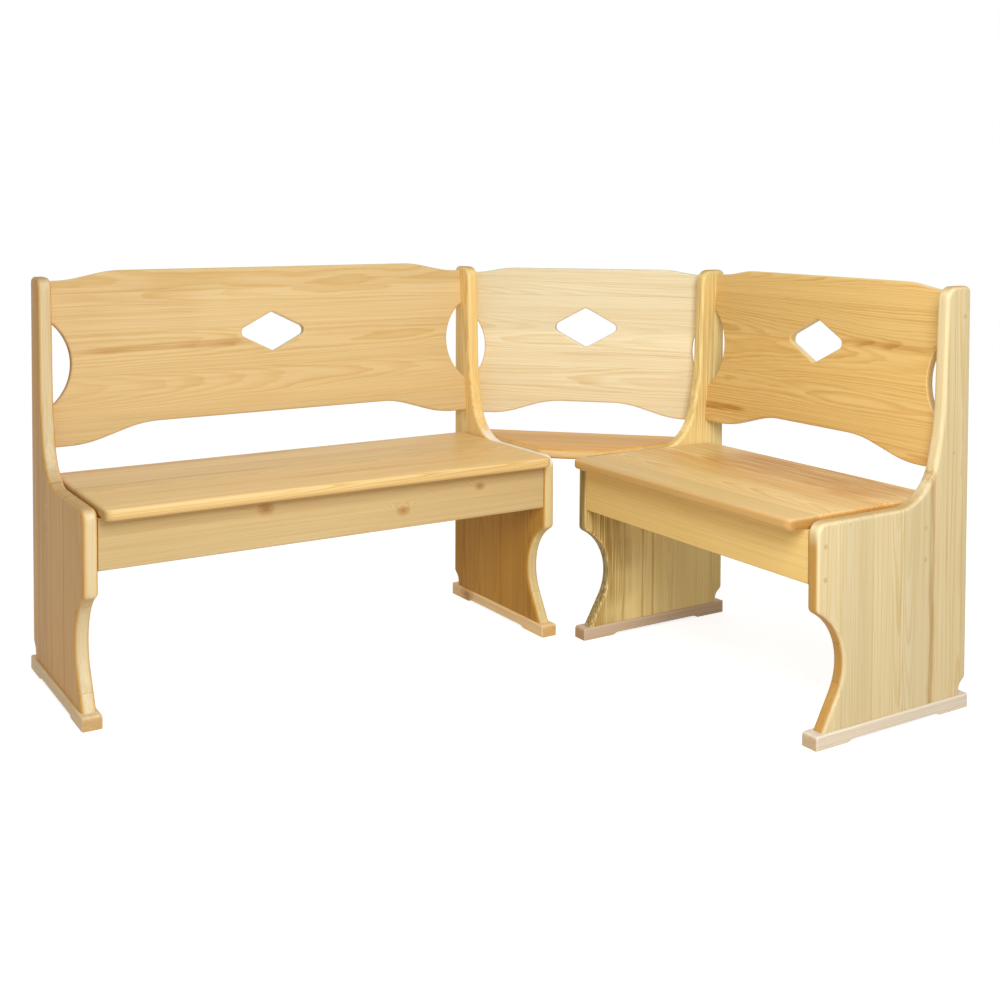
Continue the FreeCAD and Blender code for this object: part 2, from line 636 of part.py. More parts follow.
def seat(name, span, cleat_length, spot):
    """A seat board between two end panels, with a round nose and pilot holes below."""
    body = new_body(name + "_seat_board")
    half = f"({span} / 2 - seat_gap)"
    rear = minus("seat_rear_setback")
    front = minus("panel_depth + seat_overhang")
    corners = [(half, rear), (minus(half), rear), (minus(half), front), (half, front)]
    outline = draw_outline(body, name + "_seat_outline", "XY_Plane", SEAT_UNDERSIDE, corners)
    pad(body, outline, "seat_thickness")
    fillet(body, name + "_seat_rear_corners", "seat_rear_radius", across_z(corners[:2]))
    fillet(body, name + "_seat_front_corners", "seat_front_radius", across_z(corners[2:]))
    round_seat(body, name)
    across = ("0", f"seat_screw_share * {cleat_length}", minus(f"seat_screw_share * {cleat_length}"))
    spots = [(place_x, minus(line)) for line in (FRONT_CLEAT_LINE, REAR_CLEAT_LINE)
             for place_x in across]
    bore = draw_circles(body, name + "_seat_holes", "XY_Plane", SEAT_UNDERSIDE, spots,
                        "cleat_screw_width + screw_clearance")
    pocket(body, bore, "cleat_screw_grip", True)
    place(body, *spot)


def round_seat(body, name):
    """Round every upper and lower edge of a seat board."""
    top = value("seat_height")
    underside = value(SEAT_UNDERSIDE)
    fillet(body, name + "_seat_nose", "min(seat_edge_radius; seat_nose_share * seat_thickness)",
           lambda box: near(box.ZMin, box.ZMax)
           and (near(box.ZMin, top) or near(box.ZMin, underside)))


def corner_seat():
    """The seat board that fills the corner, with its rear edge across the angle."""
    body = new_body("corner_seat_board")
    side = minus(f"{CORNER_SPAN} - seat_gap")
    rear = minus("corner_seat_rear")
    front = minus(CORNER_SEAT_FRONT)
    corners = [(side, rear), (side, front), (front, side), (rear, side)]
    outline = draw_outline(body, "corner_seat_outline", "XY_Plane", SEAT_UNDERSIDE, corners)
    pad(body, outline, "seat_thickness")
    fillet(body, "corner_seat_corners", "corner_seat_radius", across_z(corners))
    round_seat(body, "corner")
    line = minus(f"{CORNER_SPAN} - cleat_width / 2")
    step = f"seat_screw_share * {CORNER_CLEAT}"
    spots = [(line, minus(f"{CORNER_CLEAT_MIDDLE} + ({shift})")) for shift in ("0", step, minus(step))]
    spots += [(second, first) for first, second in spots]
    bore = draw_circles(body, "corner_seat_holes", "XY_Plane", SEAT_UNDERSIDE, spots,
                        "cleat_screw_width + screw_clearance")
    pocket(body, bore, "cleat_screw_grip", True)
    place(body, HALF_LENGTH, HALF_WIDTH, "0")


def long_board(name, span, rear, screw_depth, cleat_face, cleat_length, spot):
    """An apron or rear rail between two end panels; cleat_face is the side that the cleat is on."""
    body = new_body(name)
    half = f"({span} / 2)"
    bottom = f"({SEAT_UNDERSIDE} - apron_height)"
    corners = [(minus(half), bottom), (half, bottom), (half, SEAT_UNDERSIDE),
               (minus(half), SEAT_UNDERSIDE)]
    outline = draw_outline(body, name + "_outline", "XZ_Plane", rear, corners)
    pad(body, outline, "apron_thickness")
    floor = value(bottom)
    fillet(body, name + "_lower_edges", "apron_edge_radius",
           lambda box: near(box.ZMin, floor) and near(box.ZMax, floor)
           and not near(box.XMin, box.XMax))
    spots = [(minus(screw_depth), UPPER_SCREW), (minus(screw_depth), LOWER_SCREW)]
    bore = draw_circles(body, name + "_end_holes", "YZ_Plane", half, spots,
                        "screw_width + screw_clearance")
    mirror(body, pocket(body, bore, "screw_grip"))
    side = f"side_screw_share * {cleat_length}"
    on_front = cleat_face == "front"
    level = f"{rear} + apron_thickness" if on_front else rear
    side_bore = draw_circles(body, name + "_cleat_holes", "XZ_Plane", level,
                             [(side, CLEAT_LEVEL), (minus(side), CLEAT_LEVEL)],
                             "cleat_screw_width + screw_clearance")
    pocket(body, side_bore, "cleat_screw_grip", not on_front)
    place(body, *spot)


def cleat(name, length, spot, yaw):
    """A seat cleat and its screws: the glued side is the plane Y = 0, the top is Z = 0."""
    seat_step = f"seat_screw_share * {length}"
    side_step = f"side_screw_share * {length}"
    up_spots = [(step, "cleat_width / 2") for step in ("0", seat_step, minus(seat_step))]
    side_spots = [(step, minus("cleat_height / 2")) for step in (side_step, minus(side_step))]
    body = new_body(name + "_seat_cleat")
    half = f"({length} / 2)"
    corners = [(minus(half), "0"), (half, "0"), (half, "cleat_width"), (minus(half), "cleat_width")]
    outline = draw_outline(body, name + "_cleat_outline", "XY_Plane", minus("cleat_height"), corners)
    pad(body, outline, "cleat_height")
    drillings = (
        ("up_recess", "XY_Plane", minus("cleat_height"), up_spots,
         "cleat_screw_head_width + screw_clearance", "cleat_screw_head_height"),
        ("up_bore", "XY_Plane", minus("cleat_height"), up_spots,
         "cleat_screw_width + screw_clearance", None),
        ("side_recess", "XZ_Plane", minus("cleat_width"), side_spots,
         "cleat_screw_head_width + screw_clearance", "cleat_screw_head_height"),
        ("side_bore", "XZ_Plane", minus("cleat_width"), side_spots,
         "cleat_screw_width + screw_clearance", None),
    )
    for part, role, rise, spots, width, depth in drillings:
        circles = draw_circles(body, f"{name}_{part}", role, rise, spots, width)
        pocket(body, circles, depth, True)
    place(body, *spot, yaw=yaw)

    screws = new_body(name + "_cleat_screws")
    for part, role, size, spots in (("up", "XY_Plane", "cleat_height", up_spots),
                                    ("side", "XZ_Plane", "cleat_width", side_spots)):
        heads = draw_circles(screws, f"{name}_{part}_heads", role, minus(size), spots,
                             "cleat_screw_head_width")
        pad(screws, heads, "cleat_screw_head_height")
        neck = f"{size} - cleat_screw_head_height"
        shanks = draw_circles(screws, f"{name}_{part}_shanks", role, minus(neck), spots,
                              "cleat_screw_width")
        pad(screws, shanks, f"{neck} + cleat_screw_grip")
    grip = value("cleat_screw_grip")
    chamfer(screws, name + "_cleat_points", "screw_point",
            lambda box: (near(box.ZMin, grip) and near(box.ZMax, grip))
            or (near(box.YMin, -grip) and near(box.YMax, -grip)))
    place(screws, *spot, yaw=yaw)


def dowels(name, spot, far):
    """The two dowels that join one end of the corner backrest to its panel."""
    body = new_body(name + "_backrest_dowels")
    start = from_face(far, "dowel_hold")
    circles = draw_circles(body, name + "_dowel_circles", "YZ_Plane", start, DOWEL_SPOTS,
                           "dowel_width")
    pad(body, circles, "2 * dowel_hold", not far)
    place(body, *spot)
    return body


def corner_backrest(pegs):
    """The upright board across the corner, mitred to the inner panels and bored for dowels."""
    half = f"({CORNER_SPAN} / sqrt(2) - backrest_thickness)"
    board = backrest("corner", half, "2 * backrest_thickness")
    board.Label = "corner_backrest_blank"
    spot = (f"{HALF_LENGTH} - {CORNER_SPAN} / 2", f"{HALF_WIDTH} - {CORNER_SPAN} / 2",
            BACKREST_TOP)
    bind(board, "Placement", f"placement(vector({'; '.join(spot)}); rotation(-45; 0; 0))")
    corner = doc.addObject("Part::Box", "corner_space")
    bind(corner, "Length", CORNER_SPAN)
    bind(corner, "Width", CORNER_SPAN)
    bind(corner, "Height", BACKREST_TOP)
    bind(corner, "Placement", f"placement(vector({HALF_LENGTH} - {CORNER_SPAN}; {HALF_WIDTH}"
                              f" - {CORNER_SPAN}; 0); rotation(0; 0; 0))")
    trimmed = doc.addObject("Part::Common", "corner_backrest_trimmed")
    trimmed.Base = board
    trimmed.Tool = corner
    holes = doc.addObject("Part::Compound", "corner_dowel_holes")
    holes.Links = pegs
    bored = doc.addObject("Part::Cut", "corner_backrest_bored")
    bored.Base = trimmed
    bored.Tool = holes
    bored.Label = "corner_backrest_board"
    doc.recompute()
    place(bored, "0", "0", "0")


OUTER_LONG = (f"foot_rail_overhang - {HALF_LENGTH}", HALF_WIDTH, "0")
INNER_LONG = (f"{HALF_LENGTH} - {CORNER_SPAN} - panel_thickness", HALF_WIDTH, "0")
INNER_SHORT = (HALF_LENGTH, f"{HALF_WIDTH} - {CORNER_SPAN}", "0", "-90")
OUTER_SHORT = (HALF_LENGTH, f"foot_rail_overhang + panel_thickness - {HALF_WIDTH}", "0", "-90")

end_panel("long_outer", OUTER_LONG, False, False)
end_panel("long_inner", INNER_LONG, True, True)
end_panel("short_inner", INNER_SHORT, False, True)
end_panel("short_outer", OUTER_SHORT, True, False)
foot_rail("long_outer", OUTER_LONG)
foot_rail("long_inner", INNER_LONG)
foot_rail("short_inner", INNER_SHORT)
foot_rail("short_outer", OUTER_SHORT)

LONG_FRAME = (LONG_MIDDLE, HALF_WIDTH, "0")
SHORT_FRAME = (HALF_LENGTH, SHORT_MIDDLE, "0", "-90")
for name, span, length, frame in (("long", LONG_SPAN, LONG_CLEAT, LONG_FRAME),
                                  ("short", SHORT_SPAN, SHORT_CLEAT, SHORT_FRAME)):
    seat(name, span, length, frame)
    long_board(name + "_front_apron", span, APRON_REAR, FRONT_SCREW_DEPTH, "rear", length, frame)
    long_board(name + "_rear_rail", span, "rear_rail_setback", RAIL_SCREW_DEPTH, "front", length,
               frame)
screwed_backrest("long", f"({LONG_SPAN} / 2)",
                 (LONG_MIDDLE, f"{HALF_WIDTH} - backrest_setback", BACKREST_TOP))
screwed_backrest("short", f"({SHORT_SPAN} / 2)",
                 (f"{HALF_LENGTH} - backrest_setback", SHORT_MIDDLE, BACKREST_TOP, "-90"))

cleat("long_front", LONG_CLEAT,
      (LONG_MIDDLE, f"{HALF_WIDTH} - {APRON_REAR}", SEAT_UNDERSIDE), "0")
cleat("long_rear", LONG_CLEAT,
      (LONG_MIDDLE, f"{HALF_WIDTH} - {RAIL_FRONT}", SEAT_UNDERSIDE), "180")
cleat("short_front", SHORT_CLEAT,
      (f"{HALF_LENGTH} - {APRON_REAR}", SHORT_MIDDLE, SEAT_UNDERSIDE), "-90")
cleat("short_rear", SHORT_CLEAT,
      (f"{HALF_LENGTH} - {RAIL_FRONT}", SHORT_MIDDLE, SEAT_UNDERSIDE), "90")
cleat("corner_left", CORNER_CLEAT,
      (f"{HALF_LENGTH} - {CORNER_SPAN}", f"{HALF_WIDTH} - {CORNER_CLEAT_MIDDLE}", SEAT_UNDERSIDE),
      "-90")
cleat("corner_right", CORNER_CLEAT,
      (f"{HALF_LENGTH} - {CORNER_CLEAT_MIDDLE}", f"{HALF_WIDTH} - {CORNER_SPAN}", SEAT_UNDERSIDE),
      "0")
corner_seat()
corner_backrest([dowels("corner_left", INNER_LONG, True),
                 dowels("corner_right", INNER_SHORT, False)])

doc.recompute()
for thing in doc.Objects:
    if "Invalid" in thing.State or "Error" in thing.State:
        raise RuntimeError(f"{thing.Label} failed: {thing.State}")
for piece in SUBPARTS:
    if piece.Shape.isNull() or not piece.Shape.isValid() or not piece.Shape.Solids:
        raise RuntimeError(f"{piece.Label} has no sound shape")

os.makedirs("parts", exist_ok=True)
for piece in SUBPARTS:
    piece.Shape.exportStep(f"parts/{piece.Label}.step")
    print(piece.Label, len(piece.Shape.Solids), round(piece.Shape.Volume))
whole = Part.makeCompound([piece.Shape for piece in SUBPARTS])
print("whole", whole.BoundBox)
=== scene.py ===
"""Looks and studio for the pine corner bench.

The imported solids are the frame. Each piece gets its own satin varnished pine, with rings that run
right through the board, and the studio holds the floor, the lamps and the camera.
"""

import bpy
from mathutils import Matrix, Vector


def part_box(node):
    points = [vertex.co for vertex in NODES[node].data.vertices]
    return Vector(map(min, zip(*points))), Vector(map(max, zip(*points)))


bl_info = {
    "name": "Pine Corner Bench",
    "version": (1, 0, 0),
    "blender": (4, 5, 0),
    "location": "3D View > Sidebar > Bench",
    "description": "Finishes the pieces of a pine corner bench and sets up a pale studio",
    "category": "Object",
}
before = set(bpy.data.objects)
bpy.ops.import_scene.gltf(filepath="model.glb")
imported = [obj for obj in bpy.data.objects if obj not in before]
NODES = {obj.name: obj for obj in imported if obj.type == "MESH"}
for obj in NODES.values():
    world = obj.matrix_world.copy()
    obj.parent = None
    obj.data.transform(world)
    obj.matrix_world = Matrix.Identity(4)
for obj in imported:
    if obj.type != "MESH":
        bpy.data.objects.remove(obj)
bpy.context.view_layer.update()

from math import radians

import bpy
from bpy.props import FloatProperty, FloatVectorProperty, PointerProperty
from mathutils import Euler, Matrix, Vector


def colour(name, note, default):
    """A colour that a user may change."""
    return FloatVectorProperty(name=name, description=note, default=default, subtype="COLOR",
                               min=0.0, max=1.0, size=3)


def length(name, note, default):
    """A length in metres that a user may change."""
    return FloatProperty(name=name, description=note, default=default, unit="LENGTH", precision=4)


def share(name, note, default):
    """A plain number that a user may change."""
    return FloatProperty(name=name, description=note, default=default)


class PineColours(bpy.types.PropertyGroup):
    """Colours of the varnished pine, one for each family of boards."""
    long_backrest: colour("Long backrest", "Early wood", (0.77, 0.59, 0.315))
    short_backrest: colour("Short backrest", "Early wood", (0.79, 0.56, 0.225))
    # Corner backrest: paler than the other backrests, painted light for the stronger light on the
    # corner.
    corner_backrest: colour("Corner backrest", "Early wood", (0.90, 0.82, 0.59))
    long_seat: colour("Long seat", "Early wood", (0.82, 0.60, 0.28))
    short_seat: colour("Short seat", "Early wood of the pale front", (0.85, 0.64, 0.31))
    corner_seat: colour("Corner seat", "Early wood", (0.80, 0.48, 0.14))
    long_apron: colour("Long apron", "Early wood, also of the rear rail", (0.66, 0.51, 0.27))
    short_apron: colour("Short apron", "Early wood, also of the rear rail", (0.85, 0.64, 0.27))
    # Long outer panel: painted shade, the early wood deepened and made more orange for the shade on
    # its outer face.
    long_outer_panel: colour("Long outer panel", "Early wood", (0.74, 0.44, 0.125))
    # Long inner panel: the early wood is painted shade, the darker colour under the seat; the stile
    # colour below is the same wood, lit, above the seat.
    long_inner_panel: colour("Long inner panel", "Early wood", (0.57, 0.315, 0.06))
    long_inner_stile: colour("Long inner stile", "Early wood above the seat", (0.93, 0.71, 0.32))
    # Short inner panel: painted light, the early wood lightened against the shade under the seat.
    short_inner_panel: colour("Short inner panel", "Early wood", (0.97, 0.82, 0.42))
    short_outer_panel: colour("Short outer panel", "Early wood", (0.73, 0.63, 0.40))
    long_outer_foot: colour("Long outer foot rail", "Early wood", (0.84, 0.67, 0.42))
    long_inner_foot: colour("Long inner foot rail", "Early wood", (0.97, 0.76, 0.45))
    short_inner_foot: colour("Short inner foot rail", "Early wood", (0.71, 0.58, 0.45))
    short_outer_foot: colour("Short outer foot rail", "Early wood", (0.74, 0.68, 0.60))
    cleat: colour("Cleats", "Early wood of the seat cleats", (0.74, 0.55, 0.29))
    plug: colour("Plugs", "Wood plugs and dowels", (0.68, 0.54, 0.31))
    seat_streak: colour("Seat streaks", "Tint of the orange rear of a seat", (0.70, 0.47, 0.13))
    dark_streak: colour("Dark streaks", "Tint of the resin streaks", (0.66, 0.46, 0.25))
    # The darkest streak tint also paints shade on the short inner panel above the seat.
    brown_streak_and_shade: colour("Brown streaks", "Tint of the darkest streaks", (0.42, 0.31, 0.14))
    late_wood: colour("Late wood", "Tint that the dark rings are multiplied by",
                      (0.88, 0.77, 0.58))
    figured_late_wood: colour("Figured late wood", "The same tint for boards with strong figure",
                              (0.78, 0.62, 0.42))
    knot: colour("Knots", "Heart of the knots", (0.36, 0.17, 0.06))
    glue_line: colour("Glue lines", "Tint along the joints between staves", (0.80, 0.68, 0.52))
    end_grain: colour("End grain", "Tint of the sawn ends", (0.80, 0.70, 0.56))


class PineGrain(bpy.types.PropertyGroup):
    """Sizes of the grain, the rings and the staves."""
    ring_spacing: length("Ring spacing", "Distance between two growth rings", 0.0026)
    waviness: length("Waviness", "How far the rings wander", 0.013)
    taper: share("Taper", "Change of radius along the trunk", 0.022)
    backrest_stave: length("Backrest stave", "Width of a stave in the backrests", 0.094)
    seat_stave: length("Seat stave", "Width of a stave in the seats", 0.108)
    panel_stave: length("Panel stave", "Width of a stave in the end panels", 0.087)
    solid_stave: length("Solid board", "Width of boards that aren't glued up", 0.30)
    glue_line: length("Glue line", "Width of the joint between two staves", 0.0007)
    relief: length("Relief", "Height of the grain under the varnish", 0.0003)


class BenchStudio(bpy.types.PropertyGroup):
    """Floor, lamps and camera."""
    floor_width: length("Floor", "Side of the square floor", 60.0)
    floor_colour: colour("Floor colour", "Warm pale studio floor", (0.80, 0.73, 0.63))
    sky_strength: share("Sky", "Strength of the even light from all round", 0.47)
    lamp_power: FloatProperty(name="Lamp", description="Power of the front soft box", default=38.0,
                              unit="POWER")
    rear_power: FloatProperty(name="Rear lamp", description="Power of the soft box behind",
                              default=12.0, unit="POWER")
    lamp_width: length("Soft box", "Side of the square soft boxes", 1.1)
    lens: FloatProperty(name="Lens", description="Focal length for a 36 mm sensor", default=47.96,
                        unit="CAMERA")
    camera_turn: FloatProperty(name="Turn", description="Turn of the camera to the right of +Y",
                               default=radians(32.63), unit="ROTATION")
    camera_drop: FloatProperty(name="Drop", description="How far the camera looks down",
                               default=radians(2.0), unit="ROTATION")
    camera_roll: FloatProperty(name="Roll", description="Roll about the line of sight",
                               default=radians(0.23), unit="ROTATION")


# Tints that the early wood is multiplied by, and the palest colour that varnished pine may have.
PLAIN = (1.0, 1.0, 1.0)
# Rounded edges: a paler tint, a painted highlight along them on top of their worn look.
WORN_AND_HIGHLIT = (1.08, 1.10, 1.16)
WARM_STAVE = (1.0, 0.955, 0.86)
CLOUDED_WOOD = (0.965, 0.935, 0.88)
FIBRE_SHADE = (0.92, 0.87, 0.78)
KNOT_HALO = (0.72, 0.50, 0.28)
PALEST_WOOD = (0.97, 0.90, 0.78)

# Layers of the wood's colour from the ground up: mask, strength, and a tint or the input that
# holds it. They all multiply what is under them, but the heart of a knot covers it. The side and
# edge layers paint light and shade: paler sides and edges where light falls, darker ones where
# shade falls, and a highlight along the rounded edges. The streak layer also paints shade where a
# board gives it a wide band.
WOOD_LAYERS = (
    ("Warmth", 0.55, WARM_STAVE), ("Cloud", 0.6, CLOUDED_WOOD), ("Late", 0.70, "Late Tint"),
    ("Fibre", 0.8, FIBRE_SHADE), ("Streak", 1.0, "Streak Tint"), ("Side", 1.0, "Side Tint"),
    ("End", 1.0, "End Tint"), ("Halo", 0.6, KNOT_HALO), ("Heart", 0.70, "Knot Colour"),
    ("Joint", 0.8, "Glue Tint"), ("Edge", 1.0, "Edge Tint"),
)

# Varnish: its plain values, and what each mask of the wood adds to them.
VARNISH_ROUGHNESS = 0.37
ROUGHNESS_BY_MASK = (("Fibre", 0.07), ("Late", -0.05), ("End", 0.16), ("Edge", 0.03))
VARNISH_COAT = 0.10
COAT_BY_MASK = (("Edge", 0.08), ("End", -0.05), ("Cloud", -0.03))
HEIGHT_BY_MASK = (("Late", 0.55), ("Fibre", -0.30), ("Joint", -0.20), ("Heart", 0.4))
COAT_ROUGHNESS = 0.30
MIRROR_SHARE = 0.04
GRAIN_BUMP = 0.35

# Noises: features to the metre along the grain and across it, detail and roughness.
BROAD_BENDS = (0.9, 5.0, 2.0, 0.5)
SMALL_BENDS = (7.0, 60.0, 2.0, 0.5)
FIBRES = (2.2, 150.0, 3.0, 0.6)
CLOUDS = (2.2, 9.0, 3.0, 0.55)
KNOT_WOBBLE = (90.0, 130.0, 2.0, 0.5)
STREAK_WANDER = (6.0, 0.0, 2.0, 0.5)
STREAK_FIBRES = (5.0, 260.0, 2.0, 0.5)
# Patches along the rounded edges, where the painted highlight and the worn look come and go.
EDGE_PATCHES = (18.0, 30.0, 3.0, 0.5)

# Staves: how much their tones differ, how far the seed moves their joints, and how each one takes
# its place in the noises.
STAVE_CONTRAST, SEAT_CONTRAST = 0.10, 0.20
SEED_STEP = 0.37
STAVE_SALT = 3.1
STAVE_SHIFTS = (31.0, 17.0, 23.0)

# Rings: the pith's place as a share of the stave's width and as a depth in metres, the bends as
# shares of the waviness, the rings between the first and the last stave, the part of the year in
# which the late wood darkens and ends, and the depth of poor and good years.
PITH_SPREAD = 1.1
PITH_DEPTH, PITH_NEAREST = 0.075, 0.028
BROAD_BEND, SMALL_BEND = 2.2, 0.20
TAPER_SPREAD = 2.0
RING_SPREAD = 7.0
LATE_SEASON, YEAR_END = (0.25, 0.86), (0.90, 1.0)
GOOD_YEAR, POOR_YEAR = 0.65, 0.35
FIBRE_BAND, CLOUD_BAND = (0.36, 0.70), (0.30, 0.70)

# Knots, in radii: the drawn-out form of the heart and of the flow round it, and their reaches.
HEART_FORM, FLOW_FORM = 0.72, 0.34
WOBBLE_REACH, WOBBLE_START = 0.5, 0.75
PUSH_HEIGHT, PUSH_REACH = 2.6, (0.2, 4.2)
HEART_RIM, HALO_START, HALO_END = (0.72, 1.02), (0.75, 1.05), (1.1, 2.6)

# Streaks, as shares of their half sizes: the wander and where the soft ends and sides begin.
WANDER_REACH = 1.2
SOFT_END, SOFT_SIDE, STREAK_BAND = (0.55, 1.0), (0.25, 1.0), (0.25, 0.6)

# Parts of a normal that belong to a rounded edge, a sawn end, a side, and the room's side.
EDGE_TURN, END_TURN, SIDE_TURN, ROOM_TURN = (0.86, 0.995), (0.55, 0.95), (0.25, 0.85), (-0.1, 0.3)
PATCH_REACH, PATCH_START = 0.7, 0.5

# Places along an end panel: the band behind the seat, where the painted shade below the seat
# gives way to the lit colour above it, and half the width of a soft change.
SEAT_BAND = (-0.045, -0.015)
SOFT_CHANGE = 0.02


def link(tree, source, target):
    """Join two sockets."""
    tree.links.new(source, target)


def feed(tree, socket, thing):
    """Give an input a socket, or a plain number, vector or colour of three values."""
    if isinstance(thing, bpy.types.NodeSocket):
        link(tree, thing, socket)
    elif socket.type == "RGBA":
        socket.default_value = (*thing, 1.0)
    else:
        socket.default_value = thing


def fed_node(tree, kind, operation, things):
    """A Math or Vector Math node with its inputs fed."""
    node = tree.nodes.new(kind)
    node.operation = operation
    for socket, thing in zip(node.inputs, things):
        feed(tree, socket, thing)
    return node


def calc(tree, operation, *things, clamp=False):
    """A result of plain numbers."""
    node = fed_node(tree, "ShaderNodeMath", operation, things)
    node.use_clamp = clamp
    return node.outputs[0]


def calc_vector(tree, operation, *things):
    """A result of vectors."""
    return fed_node(tree, "ShaderNodeVectorMath", operation, things).outputs[0]


def add(tree, first, second):
    """A sum."""
    return calc(tree, "ADD", first, second)


def times(tree, first, second):
    """A product."""
    return calc(tree, "MULTIPLY", first, second)


def centred(tree, thing):
    """A value from nought to one, moved to lie about nought."""
    return calc(tree, "SUBTRACT", thing, 0.5)


def span(tree, first, second):
    """The length of a vector of two values."""
    return calc(tree, "SQRT", add(tree, times(tree, first, first), times(tree, second, second)))


def weighed(tree, given, start, weights):
    """A starting value plus each mask times its weight."""
    total = start
    for mask, weight in weights:
        total = calc(tree, "MULTIPLY_ADD", given[mask], weight, total)
    return total


def rising(tree, thing, low, high):
    """A smooth step from nought at the low limit to one at the high one."""
    node = tree.nodes.new("ShaderNodeMapRange")
    node.interpolation_type = "SMOOTHSTEP"
    for name, number in (("Value", thing), ("From Min", low), ("From Max", high)):
        feed(tree, node.inputs[name], number)
    return node.outputs[0]


def falling(tree, thing, low, high):
    """A smooth step from one at the low limit to nought at the high one."""
    return rising(tree, thing, high, low)


def join_vector(tree, x, y, z):
    """A vector of three values."""
    node = tree.nodes.new("ShaderNodeCombineXYZ")
    for socket, thing in zip(node.inputs, (x, y, z)):
        feed(tree, socket, thing)
    return node.outputs[0]


def split_vector(tree, thing):
    """The three values of a vector."""
    node = tree.nodes.new("ShaderNodeSeparateXYZ")
    link(tree, thing, node.inputs[0])
    return tuple(node.outputs)


def noise(tree, vector, form, shift=(0.0, 0.0, 0.0)):
    """A noise from nought to one, drawn out along the grain."""
    along, across, detail, roughness = form
    drawn_out = calc_vector(tree, "MULTIPLY_ADD", vector, (along, across, across), shift)
    node = tree.nodes.new("ShaderNodeTexNoise")
    for name, thing in (("Vector", drawn_out), ("Scale", 1.0), ("Detail", detail),
                        ("Roughness", roughness)):
        feed(tree, node.inputs[name], thing)
    return node.outputs


def random_draw(tree, dimensions, vector):
    """Random values that stay the same for the same vector."""
    node = tree.nodes.new("ShaderNodeTexWhiteNoise")
    node.noise_dimensions = dimensions
    link(tree, vector, node.inputs["Vector"])
    return node.outputs


def mix_colour(tree, share_value, first, second, blend="MIX"):
    """Two colours mixed or multiplied by a share."""
    node = tree.nodes.new("ShaderNodeMix")
    node.data_type = "RGBA"
    node.blend_type = blend
    for place, thing in ((0, share_value), (6, first), (7, second)):
        feed(tree, node.inputs[place], thing)
    return node.outputs[2]


def bump(tree, height, strength, distance):
    """A normal that follows a height."""
    node = tree.nodes.new("ShaderNodeBump")
    for name, thing in (("Strength", strength), ("Distance", distance), ("Height", height)):
        feed(tree, node.inputs[name], thing)
    return node.outputs["Normal"]


def new_material(name):
    """A material with its tree and its shader."""
    material = bpy.data.materials.new(name)
    material.use_nodes = True
    return material, material.node_tree, material.node_tree.nodes["Principled BSDF"]


def new_group(name, inputs, outputs):
    """An empty shader group with its two end nodes; a label alone stands for a plain number."""
    tree = bpy.data.node_groups.new(name, "ShaderNodeTree")
    for in_out, sockets in (("INPUT", inputs), ("OUTPUT", outputs)):
        for socket in sockets:
            label, kind = (socket, "Float") if isinstance(socket, str) else socket
            tree.interface.new_socket(name=label, in_out=in_out, socket_type="NodeSocket" + kind)
    return tree, tree.nodes.new("NodeGroupInput").outputs, tree.nodes.new("NodeGroupOutput").inputs


def ring_group():
    """Growth rings, stave tones and fibres through the whole thickness of a glued-up board."""
    tree, given, wanted = new_group(
        "pine_rings",
        [("Board", "Vector"), "Stave Width", "Glue Line", "Ring Spacing", "Waviness", "Taper",
         "Seed", "Knot Push"],
        ["Late", "Tone", "Warmth", "Joint", "Fibre", "Cloud"])
    board, width = given["Board"], given["Stave Width"]
    x, y, z = split_vector(tree, board)
    stave = add(tree, calc(tree, "DIVIDE", y, width), times(tree, given["Seed"], SEED_STEP))
    number = calc(tree, "FLOOR", stave)
    inside = centred(tree, calc(tree, "FRACT", stave))
    draw = random_draw(tree, "3D", join_vector(tree, number, given["Seed"], STAVE_SALT))
    first, second, third = split_vector(tree, draw["Color"])
    tone = draw["Value"]

    shift = join_vector(tree, *(times(tree, value, reach)
                                for value, reach in zip((third, first, second), STAVE_SHIFTS)))
    broad = noise(tree, board, BROAD_BENDS, shift)["Color"]
    small = noise(tree, board, SMALL_BENDS, shift)["Fac"]
    bend_y, bend_z = split_vector(tree, broad)[:2]

    wave = times(tree, given["Waviness"], BROAD_BEND)
    pith_y = times(tree, centred(tree, first), times(tree, width, PITH_SPREAD))
    pith_z = calc(tree, "MULTIPLY_ADD", second, PITH_DEPTH, PITH_NEAREST)
    off_y = calc(tree, "MULTIPLY_ADD", centred(tree, bend_y), wave,
                 calc(tree, "SUBTRACT", times(tree, inside, width), pith_y))
    off_z = calc(tree, "MULTIPLY_ADD", centred(tree, bend_z), wave, add(tree, z, pith_z))
    slant = times(tree, centred(tree, third), times(tree, given["Taper"], TAPER_SPREAD))
    ripple = times(tree, centred(tree, small), times(tree, given["Waviness"], SMALL_BEND))
    reach = span(tree, off_y, off_z)
    for part in (times(tree, x, slant), ripple, given["Knot Push"]):
        reach = add(tree, reach, part)
    rings = add(tree, calc(tree, "DIVIDE", reach, given["Ring Spacing"]),
                times(tree, tone, RING_SPREAD))
    season = calc(tree, "FRACT", rings)
    year = join_vector(tree, calc(tree, "FLOOR", rings), number, 0.0)
    depth = calc(tree, "MULTIPLY_ADD", random_draw(tree, "2D", year)["Value"], GOOD_YEAR,
                 POOR_YEAR)
    dark_part = times(tree, rising(tree, season, *LATE_SEASON), falling(tree, season, *YEAR_END))
    link(tree, times(tree, dark_part, depth), wanted["Late"])
    link(tree, tone, wanted["Tone"])
    link(tree, second, wanted["Warmth"])

    to_middle = calc(tree, "ABSOLUTE", inside)
    from_joint = times(tree, calc(tree, "SUBTRACT", 0.5, to_middle), width)
    link(tree, falling(tree, from_joint, 0.0, given["Glue Line"]), wanted["Joint"])

    for label, form, band in (("Fibre", FIBRES, FIBRE_BAND), ("Cloud", CLOUDS, CLOUD_BAND)):
        link(tree, rising(tree, noise(tree, board, form, shift)["Fac"], *band), wanted[label])
    return tree


